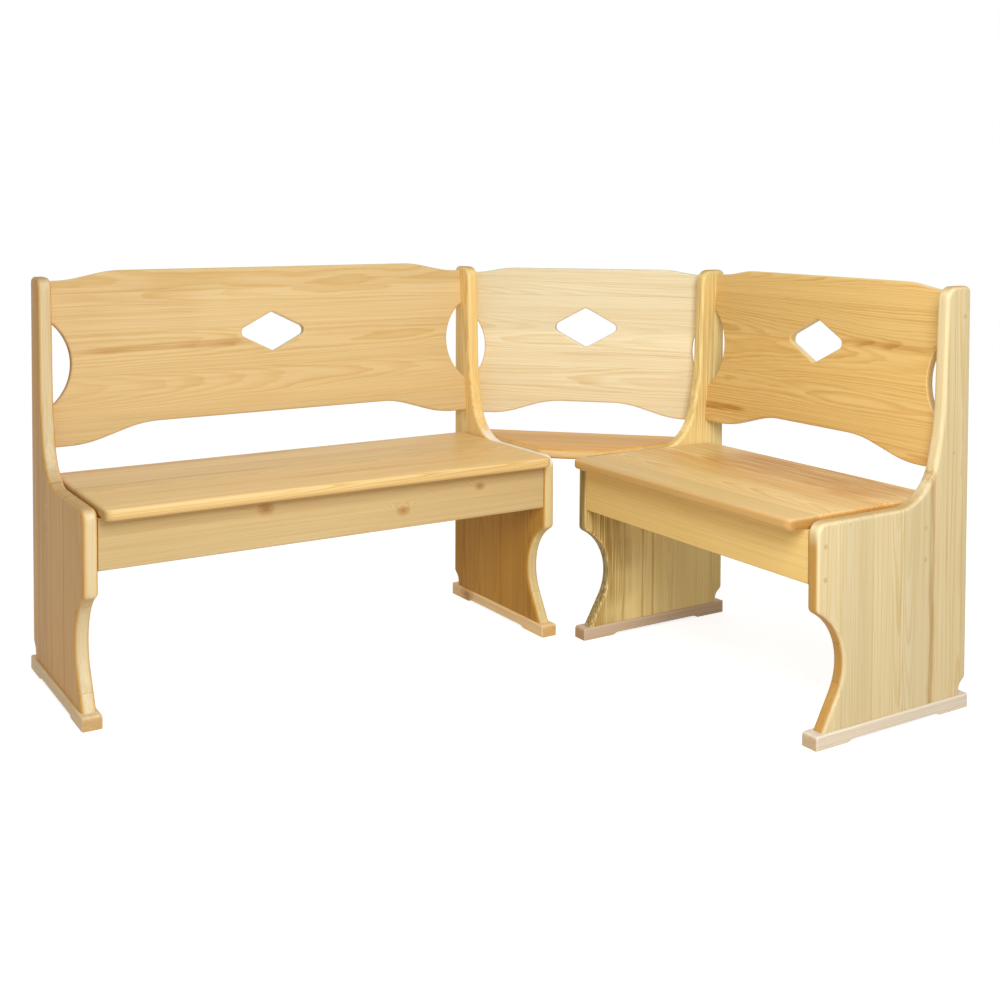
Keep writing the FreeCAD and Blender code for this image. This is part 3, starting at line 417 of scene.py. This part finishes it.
def knot_group():
    """One round knot that pushes the rings aside."""
    tree, given, wanted = new_group(
        "pine_knot", [("Board", "Vector"), ("Centre", "Vector"), "Radius"],
        ["Push", "Heart", "Halo"])
    radius = given["Radius"]
    away = calc_vector(tree, "SUBTRACT", given["Board"], given["Centre"])
    x, y = split_vector(tree, away)[:2]
    wobble = noise(tree, away, KNOT_WOBBLE)["Fac"]
    uneven = calc(tree, "MULTIPLY_ADD", wobble, WOBBLE_REACH, WOBBLE_START)
    distance = times(tree, span(tree, times(tree, x, HEART_FORM), y), uneven)
    near = calc(tree, "DIVIDE", distance, radius)
    flow = calc(tree, "DIVIDE", span(tree, times(tree, x, FLOW_FORM), y), radius)
    link(tree, times(tree, times(tree, radius, PUSH_HEIGHT), falling(tree, flow, *PUSH_REACH)),
         wanted["Push"])
    link(tree, falling(tree, near, *HEART_RIM), wanted["Heart"])
    link(tree, times(tree, rising(tree, near, *HALO_START), falling(tree, near, *HALO_END)),
         wanted["Halo"])
    return tree


def streak_group():
    """One long streak with soft ends; a wide one paints shade on the short inner panel."""
    tree, given, wanted = new_group(
        "pine_streak", [("Board", "Vector"), ("Centre", "Vector"), ("Reach", "Vector")], ["Mask"])
    board = given["Board"]
    wander = noise(tree, board, STREAK_WANDER)["Fac"]
    fine = noise(tree, board, STREAK_FIBRES)["Fac"]
    x, y = split_vector(tree, calc_vector(tree, "SUBTRACT", board, given["Centre"]))[:2]
    long_reach, cross_reach = split_vector(tree, given["Reach"])[:2]
    shifted = calc(tree, "MULTIPLY_ADD", centred(tree, wander),
                   times(tree, cross_reach, WANDER_REACH), y)
    along = calc(tree, "DIVIDE", calc(tree, "ABSOLUTE", x), long_reach)
    across = calc(tree, "DIVIDE", calc(tree, "ABSOLUTE", shifted), cross_reach)
    mask = times(tree, falling(tree, along, *SOFT_END), falling(tree, across, *SOFT_SIDE))
    link(tree, times(tree, mask, rising(tree, fine, *STREAK_BAND)), wanted["Mask"])
    return tree


def edge_group():
    """Masks for the rounded edges and the sawn ends, from the normal in the board's own frame."""
    tree, given, wanted = new_group(
        "board_edges", [("Board Normal", "Vector"), ("Board", "Vector")], ["Edge", "End", "Side"])
    x, y, z = split_vector(tree, calc_vector(tree, "ABSOLUTE", given["Board Normal"]))
    largest = calc(tree, "MAXIMUM", calc(tree, "MAXIMUM", x, y), z)
    # The edge mask carries the edge tint, which paints light and shade on the rounded edges, patchy
    # like worn edges.
    patchy = noise(tree, given["Board"], EDGE_PATCHES)["Fac"]
    patchiness = calc(tree, "MULTIPLY_ADD", patchy, PATCH_REACH, PATCH_START)
    link(tree, calc(tree, "MULTIPLY", falling(tree, largest, *EDGE_TURN), patchiness, clamp=True),
         wanted["Edge"])
    link(tree, rising(tree, x, *END_TURN), wanted["End"])
    link(tree, falling(tree, z, *SIDE_TURN), wanted["Side"])
    return tree


def finish_group():
    """Colour, gloss and relief of varnished pine from the masks of the other groups, with light and
    shade painted in by the side and edge tints.
    """
    tints = ("Early", "Late Tint", "Knot Colour", "Glue Tint", "Edge Tint", "End Tint",
             "Side Tint", "Streak Tint")
    tree, given, wanted = new_group(
        "varnished_pine",
        [*((tint, "Color") for tint in tints), "Late", "Tone", "Warmth", "Joint", "Fibre",
         "Cloud", "Heart", "Halo", "Edge", "End", "Side", "Streak", "Stave Contrast"],
        [("Color", "Color"), "Roughness", "Coat", "Height"])
    tone = calc(tree, "MULTIPLY_ADD", centred(tree, given["Tone"]), given["Stave Contrast"], 1.0)
    wood = mix_colour(tree, 1.0, given["Early"], join_vector(tree, tone, tone, tone), "MULTIPLY")
    for mask, strength, tint in WOOD_LAYERS:
        layer = given[tint] if isinstance(tint, str) else tint
        blend = "MIX" if mask == "Heart" else "MULTIPLY"
        wood = mix_colour(tree, times(tree, given[mask], strength), wood, layer, blend)
    link(tree, calc_vector(tree, "MINIMUM", wood, PALEST_WOOD), wanted["Color"])
    for label, start, weights in (("Roughness", VARNISH_ROUGHNESS, ROUGHNESS_BY_MASK),
                                  ("Coat", VARNISH_COAT, COAT_BY_MASK),
                                  ("Height", 0.0, HEIGHT_BY_MASK)):
        link(tree, weighed(tree, given, start, weights), wanted[label])
    return tree


GROUP_MAKERS = {"pine_rings": ring_group, "pine_knot": knot_group, "pine_streak": streak_group,
                "board_edges": edge_group, "varnished_pine": finish_group}


def use_group(tree, name, things):
    """Place a shared group, built the first time it is asked for, and feed its inputs."""
    node = tree.nodes.new("ShaderNodeGroup")
    node.node_tree = bpy.data.node_groups.get(name) or GROUP_MAKERS[name]()
    for label, thing in things.items():
        feed(tree, node.inputs[label], thing)
    return node.outputs


def turned(tree, source, middle, turn):
    """A vector seen from a board's own frame."""
    node = tree.nodes.new("ShaderNodeMapping")
    node.vector_type = "TEXTURE"
    for name, thing in (("Location", middle), ("Rotation", turn), ("Vector", source)):
        feed(tree, node.inputs[name], thing)
    return node.outputs[0]


def knot_masks(tree, board, knots):
    """Push, heart and halo of a board's knots."""
    push, heart, halo = 0.0, 0.0, 0.0
    for along, across, radius in knots:
        knot = use_group(tree, "pine_knot", {"Board": board, "Centre": (along, across, 0.0),
                                             "Radius": radius})
        push = add(tree, knot["Push"], push)
        heart = calc(tree, "MAXIMUM", knot["Heart"], heart)
        halo = calc(tree, "MAXIMUM", knot["Halo"], halo)
    return push, heart, halo


def streak_mask(tree, board, streaks):
    """The strongest of a board's streaks."""
    strongest = 0.0
    for along, across, long_reach, cross_reach, strength in streaks:
        mask = use_group(tree, "pine_streak", {"Board": board, "Centre": (along, across, 0.0),
                                               "Reach": (long_reach, cross_reach, 0.0)})["Mask"]
        strongest = calc(tree, "MAXIMUM", times(tree, mask, strength), strongest)
    return strongest


def settings():
    """The colours and the grain that a user may change."""
    return bpy.context.scene.bench_colours, bpy.context.scene.bench_grain


def pine(name, middle, turn, early, stave, seed, knots=(), streaks=(), side=PLAIN, edge=WORN_AND_HIGHLIT,
         side_top=None, room_side=False, streak_tint=None, late=None, waviness=1.0,
         contrast=STAVE_CONTRAST, upper=None):
    """A varnished pine material whose grain runs along X in the frame that turn gives.

    Knots are given in that frame, as place along the grain, place across it and radius. Streaks
    are given as place along, place across, half length, half width and strength. The side and edge
    tints paint light and shade on the sides and the rounded edges. The side tint ends at the place
    along that side_top gives, and with room_side it leaves out the edges that face away from the
    room, so the painted light and shade stay on the edges towards the room. The waviness is a share
    of the usual one. The upper colour is the lit early wood above the seat, where the early colour
    below it is painted shade.
    """
    colours, grain = settings()
    material, tree, shader = new_material(name)
    place = tree.nodes.new("ShaderNodeTexCoord").outputs
    board = turned(tree, place["Object"], middle, turn)
    normal = turned(tree, place["Normal"], (0.0, 0.0, 0.0), turn)
    push, heart, halo = knot_masks(tree, board, knots)
    rings = use_group(tree, "pine_rings", {
        "Board": board, "Stave Width": stave, "Glue Line": grain.glue_line,
        "Ring Spacing": grain.ring_spacing, "Waviness": grain.waviness * waviness,
        "Taper": grain.taper, "Seed": seed, "Knot Push": push})
    edges = use_group(tree, "board_edges", {"Board Normal": normal, "Board": board})

    # Lit and shaded copies of the wood on one board: the upper colour above the seat, and the early
    # colour, with its painted shade, below it.
    if upper is not None:
        above_seat = rising(tree, split_vector(tree, board)[0], *SEAT_BAND)
        early = mix_colour(tree, above_seat, early, upper)
    # The side tint paints light and shade on the board's sides.
    sides = edges["Side"]
    if side_top is not None:
        low_part = falling(tree, split_vector(tree, board)[0], side_top - SOFT_CHANGE,
                           side_top + SOFT_CHANGE)
        sides = times(tree, sides, low_part)
    if room_side:
        sides = times(tree, sides, falling(tree, split_vector(tree, normal)[1], *ROOM_TURN))
    finish = use_group(tree, "varnished_pine", {
        "Early": early, "Late Tint": late or colours.late_wood, "Knot Colour": colours.knot,
        "Glue Tint": colours.glue_line, "Edge Tint": edge, "End Tint": colours.end_grain,
        "Side Tint": side, "Streak Tint": streak_tint or colours.dark_streak,
        **{label: rings[label] for label in ("Late", "Tone", "Warmth", "Joint", "Fibre", "Cloud")},
        "Heart": heart, "Halo": halo, "Edge": edges["Edge"], "End": edges["End"], "Side": sides,
        "Streak": streak_mask(tree, board, streaks), "Stave Contrast": contrast})

    for label, thing in (("Base Color", finish["Color"]), ("Roughness", finish["Roughness"]),
                         ("Coat Weight", finish["Coat"]), ("Coat Roughness", COAT_ROUGHNESS),
                         ("Specular IOR Level", MIRROR_SHARE),
                         ("Normal", bump(tree, finish["Height"], GRAIN_BUMP, grain.relief))):
        feed(tree, shader.inputs[label], thing)
    return material


def dress(node, material):
    """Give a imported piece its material."""
    for slot in NODES[node].material_slots:
        slot.material = material


def dress_in_pine(node, name, *wood, **looks):
    """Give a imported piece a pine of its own, laid out from the middle of its box."""
    low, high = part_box(node)
    dress(node, pine(name, (low + high) / 2, *wood, **looks))


# Turns that bring a board's own frame, grain along X and face along Z, to its place.
QUARTER, EIGHTH, LEAN = radians(90), radians(45), radians(84)
FLAT_LONG = (0.0, 0.0, 0.0)
FLAT_SHORT = (0.0, 0.0, -QUARTER)
UPRIGHT_LONG = (QUARTER, 0.0, 0.0)
UPRIGHT_SHORT = (QUARTER, 0.0, -QUARTER)
LEANING_LONG = (LEAN, 0.0, 0.0)
LEANING_SHORT = (LEAN, 0.0, -QUARTER)
CORNER_UPRIGHT = (QUARTER, 0.0, -EIGHTH)
CORNER_FLAT = (0.0, 0.0, -EIGHTH)
RAIL_LONG = (QUARTER, 0.0, QUARTER)
STANDING_LONG = (0.0, -QUARTER, 0.0)
STANDING_SHORT = (0.0, -QUARTER, -QUARTER)

PANELS = ("long_outer", "long_inner", "short_inner", "short_outer")
CLEATS = (("long_front", FLAT_LONG), ("long_rear", FLAT_LONG), ("short_front", FLAT_SHORT),
          ("short_rear", FLAT_SHORT), ("corner_left", FLAT_SHORT), ("corner_right", FLAT_LONG))
FOOT_KNOTS = {"long_inner": ((0.141, 0.0, 0.012),)}
FIRST_FOOT_SEED, FIRST_CLEAT_SEED, FIRST_PLUG_SEED = 21, 61, 71


class BENCH_OT_end_panels(bpy.types.Operator):
    """Finish the four end panels in glued-up pine with upright grain"""
    bl_idname = "bench.end_panels"
    bl_label = "End Panels"

    def execute(self, context):
        colours, grain = settings()
        boards = (
            # Long outer: the early wood carries painted shade for the outer face, and the pale side
            # tint paints light on the front edges.
            ("long_outer", STANDING_LONG, colours.long_outer_panel, 11.0, (1.08, 1.58, 3.7), None,
             colours.dark_streak,
             ((-0.10, -0.060, 0.50, 0.008, 0.6), (-0.10, 0.050, 0.50, 0.006, 0.5),
              (-0.10, 0.150, 0.50, 0.005, 0.5))),
            # Long inner: the early wood is painted shade under the seat, and the pale side tint
            # paints light on the front edges there.
            ("long_inner", STANDING_LONG, colours.long_inner_panel, 5.0, (1.42, 2.20, 6.2), 0.0,
             colours.dark_streak, ((-0.20, -0.020, 0.40, 0.010, 0.4),)),
            # Short inner: the early wood carries painted light under the seat, the side tint paints
            # shade on the lower front edges, and the last, wide streak paints shade above the seat.
            ("short_inner", STANDING_SHORT, colours.short_inner_panel, 8.0, (0.64, 0.70, 0.82),
             -0.03, colours.brown_streak_and_shade,
             ((-0.28, -0.100, 0.34, 0.007, 0.75), (-0.28, -0.041, 0.34, 0.006, 0.6),
              (-0.28, -0.010, 0.34, 0.005, 0.5), (-0.32, -0.200, 0.42, 0.160, 0.9),
              (0.30, 0.10, 0.36, 0.40, 0.43))),
            # Short outer: the reddish side tint paints shade on the lower front edge.
            ("short_outer", STANDING_SHORT, colours.short_outer_panel, 2.0, (0.74, 0.51, 0.25),
             -0.05, colours.dark_streak,
             ((-0.05, 0.106, 0.75, 0.012, 0.7), (-0.20, 0.014, 0.30, 0.004, 0.3),
              (0.10, 0.150, 0.36, 0.006, 0.3))),
        )
        for name, turn, early, seed, side, side_top, tint, streaks in boards:
            node = name + "_end_panel"
            late = colours.figured_late_wood if name.startswith("long") else colours.late_wood
            # The long inner panel gets lit and shaded copies of its wood, above and below the seat.
            upper = colours.long_inner_stile if name == "long_inner" else None
            dress_in_pine(node, "pine " + name.replace("_", " ") + " panel", turn, early,
                          grain.panel_stave, seed, side=side, side_top=side_top, room_side=True,
                          streaks=streaks, streak_tint=tint, late=late, upper=upper)
        return {"FINISHED"}


class BENCH_OT_foot_rails(bpy.types.Operator):
    """Finish the four foot rails in solid pine"""
    bl_idname = "bench.foot_rails"
    bl_label = "Foot Rails"

    def execute(self, context):
        colours, grain = settings()
        for seed, name in enumerate(PANELS, start=FIRST_FOOT_SEED):
            node = name + "_foot_rail"
            turn = RAIL_LONG if name.startswith("long") else UPRIGHT_LONG
            early = getattr(colours, node.replace("_rail", ""))
            dress_in_pine(node, "pine " + name.replace("_", " ") + " foot", turn, early,
                          grain.solid_stave, seed, FOOT_KNOTS.get(name, ()))
        return {"FINISHED"}


class BENCH_OT_backrests(bpy.types.Operator):
    """Finish the three backrests in glued-up pine with level grain"""
    bl_idname = "bench.backrests"
    bl_label = "Backrests"

    def execute(self, context):
        colours, grain = settings()
        boards = (
            # The pale side tints of the long and short backrests paint light on their sides and on
            # the walls of their cut-outs, and the edge tints paint a highlight on the rounded
            # edges; the corner backrest's wood is paler for the light on it.
            ("long", LEANING_LONG, colours.long_backrest, 31.0, (1.10, 1.24, 1.6),
             (1.04, 1.06, 1.12), colours.late_wood, 1.0,
             ((-0.26, 0.016, 0.26, 0.012, 0.6), (-0.34, 0.110, 0.20, 0.090, 0.2))),
            ("short", LEANING_SHORT, colours.short_backrest, 34.0, (1.08, 1.30, 2.0),
             (1.04, 1.08, 1.18), colours.figured_late_wood, 1.5,
             ((0.22, 0.050, 0.17, 0.010, 0.6), (-0.31, -0.150, 0.10, 0.012, 1.0))),
            ("corner", CORNER_UPRIGHT, colours.corner_backrest, 37.0, (0.98, 0.96, 0.94),
             (1.02, 1.03, 1.06), colours.late_wood, 1.0,
             ((0.10, -0.030, 0.22, 0.008, 0.3),)),
        )
        for name, turn, early, seed, side, edge, late, waviness, streaks in boards:
            dress_in_pine(name + "_backrest_board", "pine " + name + " backrest", turn, early,
                          grain.backrest_stave, seed, side=side, edge=edge, streaks=streaks,
                          late=late, waviness=waviness)
        return {"FINISHED"}


class BENCH_OT_seats(bpy.types.Operator):
    """Finish the three seat boards"""
    bl_idname = "bench.seats"
    bl_label = "Seats"

    def execute(self, context):
        colours, grain = settings()
        boards = (
            # The side tints paint shade on the front sides of the long and short seats and a pale
            # highlight on the corner seat's front edge; the edge tints follow them.
            ("long", FLAT_LONG, colours.long_seat, 41.0, (0.92, 0.93, 0.92), (1.00, 1.00, 1.06),
             ((-0.30, 0.020, 0.30, 0.016, 0.35), (-0.20, 0.190, 0.36, 0.022, 0.4),
              (0.16, -0.110, 0.30, 0.014, 0.3), (0.05, 0.100, 0.40, 0.012, 0.3))),
            ("short", FLAT_SHORT, colours.short_seat, 44.0, (0.86, 0.74, 0.58),
             (0.98, 0.90, 0.90),
             ((0.06, 0.140, 0.34, 0.160, 1.0), (0.0, 0.010, 0.60, 0.070, 0.5))),
            ("corner", CORNER_FLAT, colours.corner_seat, 47.0, (1.05, 1.33, 2.35),
             (1.02, 1.06, 1.20), ((-0.08, 0.050, 0.14, 0.020, 0.4),)),
        )
        for name, turn, early, seed, side, edge, streaks in boards:
            dress_in_pine(name + "_seat_board", "pine " + name + " seat", turn, early,
                          grain.seat_stave, seed, side=side, edge=edge, streaks=streaks,
                          streak_tint=colours.seat_streak, late=colours.figured_late_wood,
                          contrast=SEAT_CONTRAST)
        return {"FINISHED"}


class BENCH_OT_aprons(bpy.types.Operator):
    """Finish the front aprons and the rear rails"""
    bl_idname = "bench.aprons"
    bl_label = "Aprons and Rails"

    def execute(self, context):
        colours, grain = settings()
        boards = (
            ("long_front_apron", UPRIGHT_LONG, colours.long_apron, 51.0,
             ((-0.178, 0.030, 0.007), (0.150, -0.013, 0.006), (0.351, 0.020, 0.005))),
            ("long_rear_rail", UPRIGHT_LONG, colours.long_apron, 53.0, ()),
            ("short_front_apron", UPRIGHT_SHORT, colours.short_apron, 55.0, ()),
            ("short_rear_rail", UPRIGHT_SHORT, colours.short_apron, 57.0, ()),
        )
        for node, turn, early, seed, knots in boards:
            dress_in_pine(node, "pine " + node.replace("_", " "), turn, early,
                          grain.solid_stave, seed, knots)
        return {"FINISHED"}


class BENCH_OT_cleats(bpy.types.Operator):
    """Finish the cleats under the seats"""
    bl_idname = "bench.cleats"
    bl_label = "Cleats"

    def execute(self, context):
        colours, grain = settings()
        for seed, (name, turn) in enumerate(CLEATS, start=FIRST_CLEAT_SEED):
            dress_in_pine(name + "_seat_cleat", "pine " + name.replace("_", " ") + " cleat", turn,
                          colours.cleat, grain.solid_stave, seed)
        return {"FINISHED"}


class BENCH_OT_plugs(bpy.types.Operator):
    """Finish the wood plugs over the screws, and the dowels of the corner backrest"""
    bl_idname = "bench.plugs"
    bl_label = "Plugs and Dowels"

    def execute(self, context):
        colours, grain = settings()
        pieces = [(name + "_panel_plugs",
                   STANDING_LONG if name.startswith("long") else STANDING_SHORT)
                  for name in PANELS]
        pieces += [("corner_left_backrest_dowels", FLAT_LONG),
                   ("corner_right_backrest_dowels", FLAT_SHORT)]
        for seed, (node, turn) in enumerate(pieces, start=FIRST_PLUG_SEED):
            dress_in_pine(node, "wood " + node.replace("_", " "), turn, colours.plug,
                          grain.panel_stave, seed)
        return {"FINISHED"}


# Screw steel: its two tones, its patches and turning marks, its gloss and its relief.
ZINC, DULL_ZINC = (0.62, 0.62, 0.60), (0.50, 0.49, 0.46)
ZINC_PATCHES, PATCH_BAND = (180.0, 180.0, 4.0, 0.6), (0.35, 0.7)
TURNING_MARKS = (2400.0, 2400.0, 2.0, 0.5)
ZINC_ROUGHNESS, PATCH_ROUGHNESS = 0.22, 0.25
ZINC_BUMP, MARK_DEPTH = 0.2, 0.0001


def steel_material():
    """Zinc plated screw steel with fine turning marks and dull patches."""
    material, tree, shader = new_material("zinc plated screw steel")
    place = tree.nodes.new("ShaderNodeTexCoord").outputs["Object"]
    patches = noise(tree, place, ZINC_PATCHES)["Fac"]
    marks = noise(tree, place, TURNING_MARKS)["Fac"]
    metal = mix_colour(tree, rising(tree, patches, *PATCH_BAND), ZINC, DULL_ZINC)
    rough = calc(tree, "MULTIPLY_ADD", patches, PATCH_ROUGHNESS, ZINC_ROUGHNESS)
    for label, thing in (("Base Color", metal), ("Metallic", 1.0), ("Roughness", rough),
                         ("Normal", bump(tree, marks, ZINC_BUMP, MARK_DEPTH))):
        feed(tree, shader.inputs[label], thing)
    return material


class BENCH_OT_screws(bpy.types.Operator):
    """Finish every screw in zinc plated steel"""
    bl_idname = "bench.screws"
    bl_label = "Screws"

    def execute(self, context):
        steel = steel_material()
        for node in NODES:
            if node.endswith("_screws"):
                dress(node, steel)
        return {"FINISHED"}


# Soft boxes: name, the setting of their power, whether they show as a highlight, and their place
# and what they face in metres.
SOFT_BOXES = (
    ("front soft box", "lamp_power", True, (-0.50, -1.70, 1.62), (0.15, 0.0, 0.50)),
    ("rear soft box", "rear_power", False, (2.00, 2.20, 0.90), (0.20, 0.20, 0.50)),
)

# Camera, in metres and millimetres, and the floor as the camera sees it: its tone and its glow.
CAMERA_PLACE = (-1.47593, -2.44476, 1.0462)
CAMERA_SHIFT = (-0.01868, -0.24971)
SENSOR_WIDTH = 36.0
FARTHEST_SEEN = 200.0
SEEN_FLOOR, SEEN_GLOW = (0.46, 0.46, 0.46), 0.80


class BENCH_OT_studio(bpy.types.Operator):
    """Add the pale floor, the soft light and the camera"""
    bl_idname = "bench.studio"
    bl_label = "Studio"

    def execute(self, context):
        scene, studio = context.scene, context.scene.bench_studio
        bpy.ops.object.select_all(action="DESELECT")
        bpy.ops.mesh.primitive_plane_add(size=studio.floor_width, location=(0.0, 0.0, 0.0))
        floor = context.object
        floor.name = "studio_floor"
        floor.data.materials.append(floor_material(studio.floor_colour))

        world = bpy.data.worlds.new("studio sky")
        scene.world = world
        world.use_nodes = True
        tree = world.node_tree
        sky = tree.nodes["Background"]
        sky.inputs["Color"].default_value = (1.0, 1.0, 1.0, 1.0)
        link(tree, calc(tree, "MULTIPLY_ADD", seen_directly(tree), 1.0 - studio.sky_strength,
                        studio.sky_strength), sky.inputs["Strength"])

        for name, power, mirrored, place, target in SOFT_BOXES:
            lamp = bpy.data.lights.new(name, "AREA")
            lamp.energy = getattr(studio, power)
            lamp.size = studio.lamp_width
            add_lamp(scene, lamp, Vector(place), Vector(target), mirrored)

        camera = bpy.data.cameras.new("photo camera")
        camera.sensor_width = SENSOR_WIDTH
        camera.lens = studio.lens
        camera.shift_x, camera.shift_y = CAMERA_SHIFT
        camera.clip_end = FARTHEST_SEEN
        holder = bpy.data.objects.new("photo camera", camera)
        scene.collection.objects.link(holder)
        turn = Euler((QUARTER - studio.camera_drop, 0.0, -studio.camera_turn))
        view = turn.to_matrix() @ Matrix.Rotation(studio.camera_roll, 3, "Z")
        holder.matrix_world = Matrix.Translation(CAMERA_PLACE) @ view.to_4x4()
        scene.camera = holder
        scene.view_settings.view_transform = "Standard"
        return {"FINISHED"}


def add_lamp(scene, lamp, place, target, mirrored):
    """Place a lamp so that it faces a target; only a mirrored lamp shows as a highlight."""
    holder = bpy.data.objects.new(lamp.name, lamp)
    scene.collection.objects.link(holder)
    turn = (target - place).to_track_quat("-Z", "Y").to_matrix().to_4x4()
    holder.matrix_world = Matrix.Translation(place) @ turn
    holder.visible_camera = False
    holder.visible_glossy = mirrored


def seen_directly(tree):
    """One for rays that show the studio itself: from the camera, a mirror or glass."""
    rays = tree.nodes.new("ShaderNodeLightPath").outputs
    seen = calc(tree, "MAXIMUM", rays["Is Camera Ray"], rays["Is Glossy Ray"])
    return calc(tree, "MAXIMUM", seen, rays["Is Transmission Ray"])


def matt_surface(tree, tint):
    """A matt surface of one colour."""
    node = tree.nodes.new("ShaderNodeBsdfDiffuse")
    feed(tree, node.inputs["Color"], tint)
    return node.outputs[0]


def floor_material(tint):
    """A pale floor that looks white and keeps a soft shadow."""
    material, tree, shader = new_material("pale studio floor")
    tree.nodes.remove(shader)
    glow = tree.nodes.new("ShaderNodeEmission")
    glow.inputs["Strength"].default_value = SEEN_GLOW
    both = tree.nodes.new("ShaderNodeAddShader")
    for place, source in enumerate((matt_surface(tree, SEEN_FLOOR), glow.outputs[0])):
        link(tree, source, both.inputs[place])
    choice = tree.nodes.new("ShaderNodeMixShader")
    for place, source in enumerate((seen_directly(tree), matt_surface(tree, tint),
                                    both.outputs[0])):
        link(tree, source, choice.inputs[place])
    link(tree, choice.outputs[0], tree.nodes["Material Output"].inputs["Surface"])
    return material


class BENCH_PT_pieces(bpy.types.Panel):
    """The steps that finish the bench"""
    bl_label = "Corner Bench"
    bl_space_type = "VIEW_3D"
    bl_region_type = "UI"
    bl_category = "Bench"

    def draw(self, context):
        for group in (context.scene.bench_colours, context.scene.bench_grain,
                      context.scene.bench_studio):
            box = self.layout.box()
            for name in group.__annotations__:
                box.prop(group, name)
        for operator in STEPS:
            self.layout.operator(operator.bl_idname)


STEPS = (BENCH_OT_end_panels, BENCH_OT_foot_rails, BENCH_OT_backrests, BENCH_OT_seats,
         BENCH_OT_aprons, BENCH_OT_cleats, BENCH_OT_plugs, BENCH_OT_screws, BENCH_OT_studio)
GROUPS = (("bench_colours", PineColours), ("bench_grain", PineGrain),
          ("bench_studio", BenchStudio))


def register():
    """Register the settings, the steps and the panel."""
    for name, group in GROUPS:
        bpy.utils.register_class(group)
        setattr(bpy.types.Scene, name, PointerProperty(type=group))
    for item in (*STEPS, BENCH_PT_pieces):
        bpy.utils.register_class(item)


def unregister():
    """Take the panel, the steps and the settings away again."""
    for item in reversed((*STEPS, BENCH_PT_pieces)):
        bpy.utils.unregister_class(item)
    for name, group in reversed(GROUPS):
        delattr(bpy.types.Scene, name)
        bpy.utils.unregister_class(group)


def main():
    """Finish the bench, step by step."""
    register()
    bpy.ops.bench.studio()
    bpy.ops.bench.end_panels()
    bpy.ops.bench.foot_rails()
    bpy.ops.bench.backrests()
    bpy.ops.bench.seats()
    bpy.ops.bench.aprons()
    bpy.ops.bench.cleats()
    bpy.ops.bench.plugs()
    bpy.ops.bench.screws()


if __name__ == "__main__":
    main()
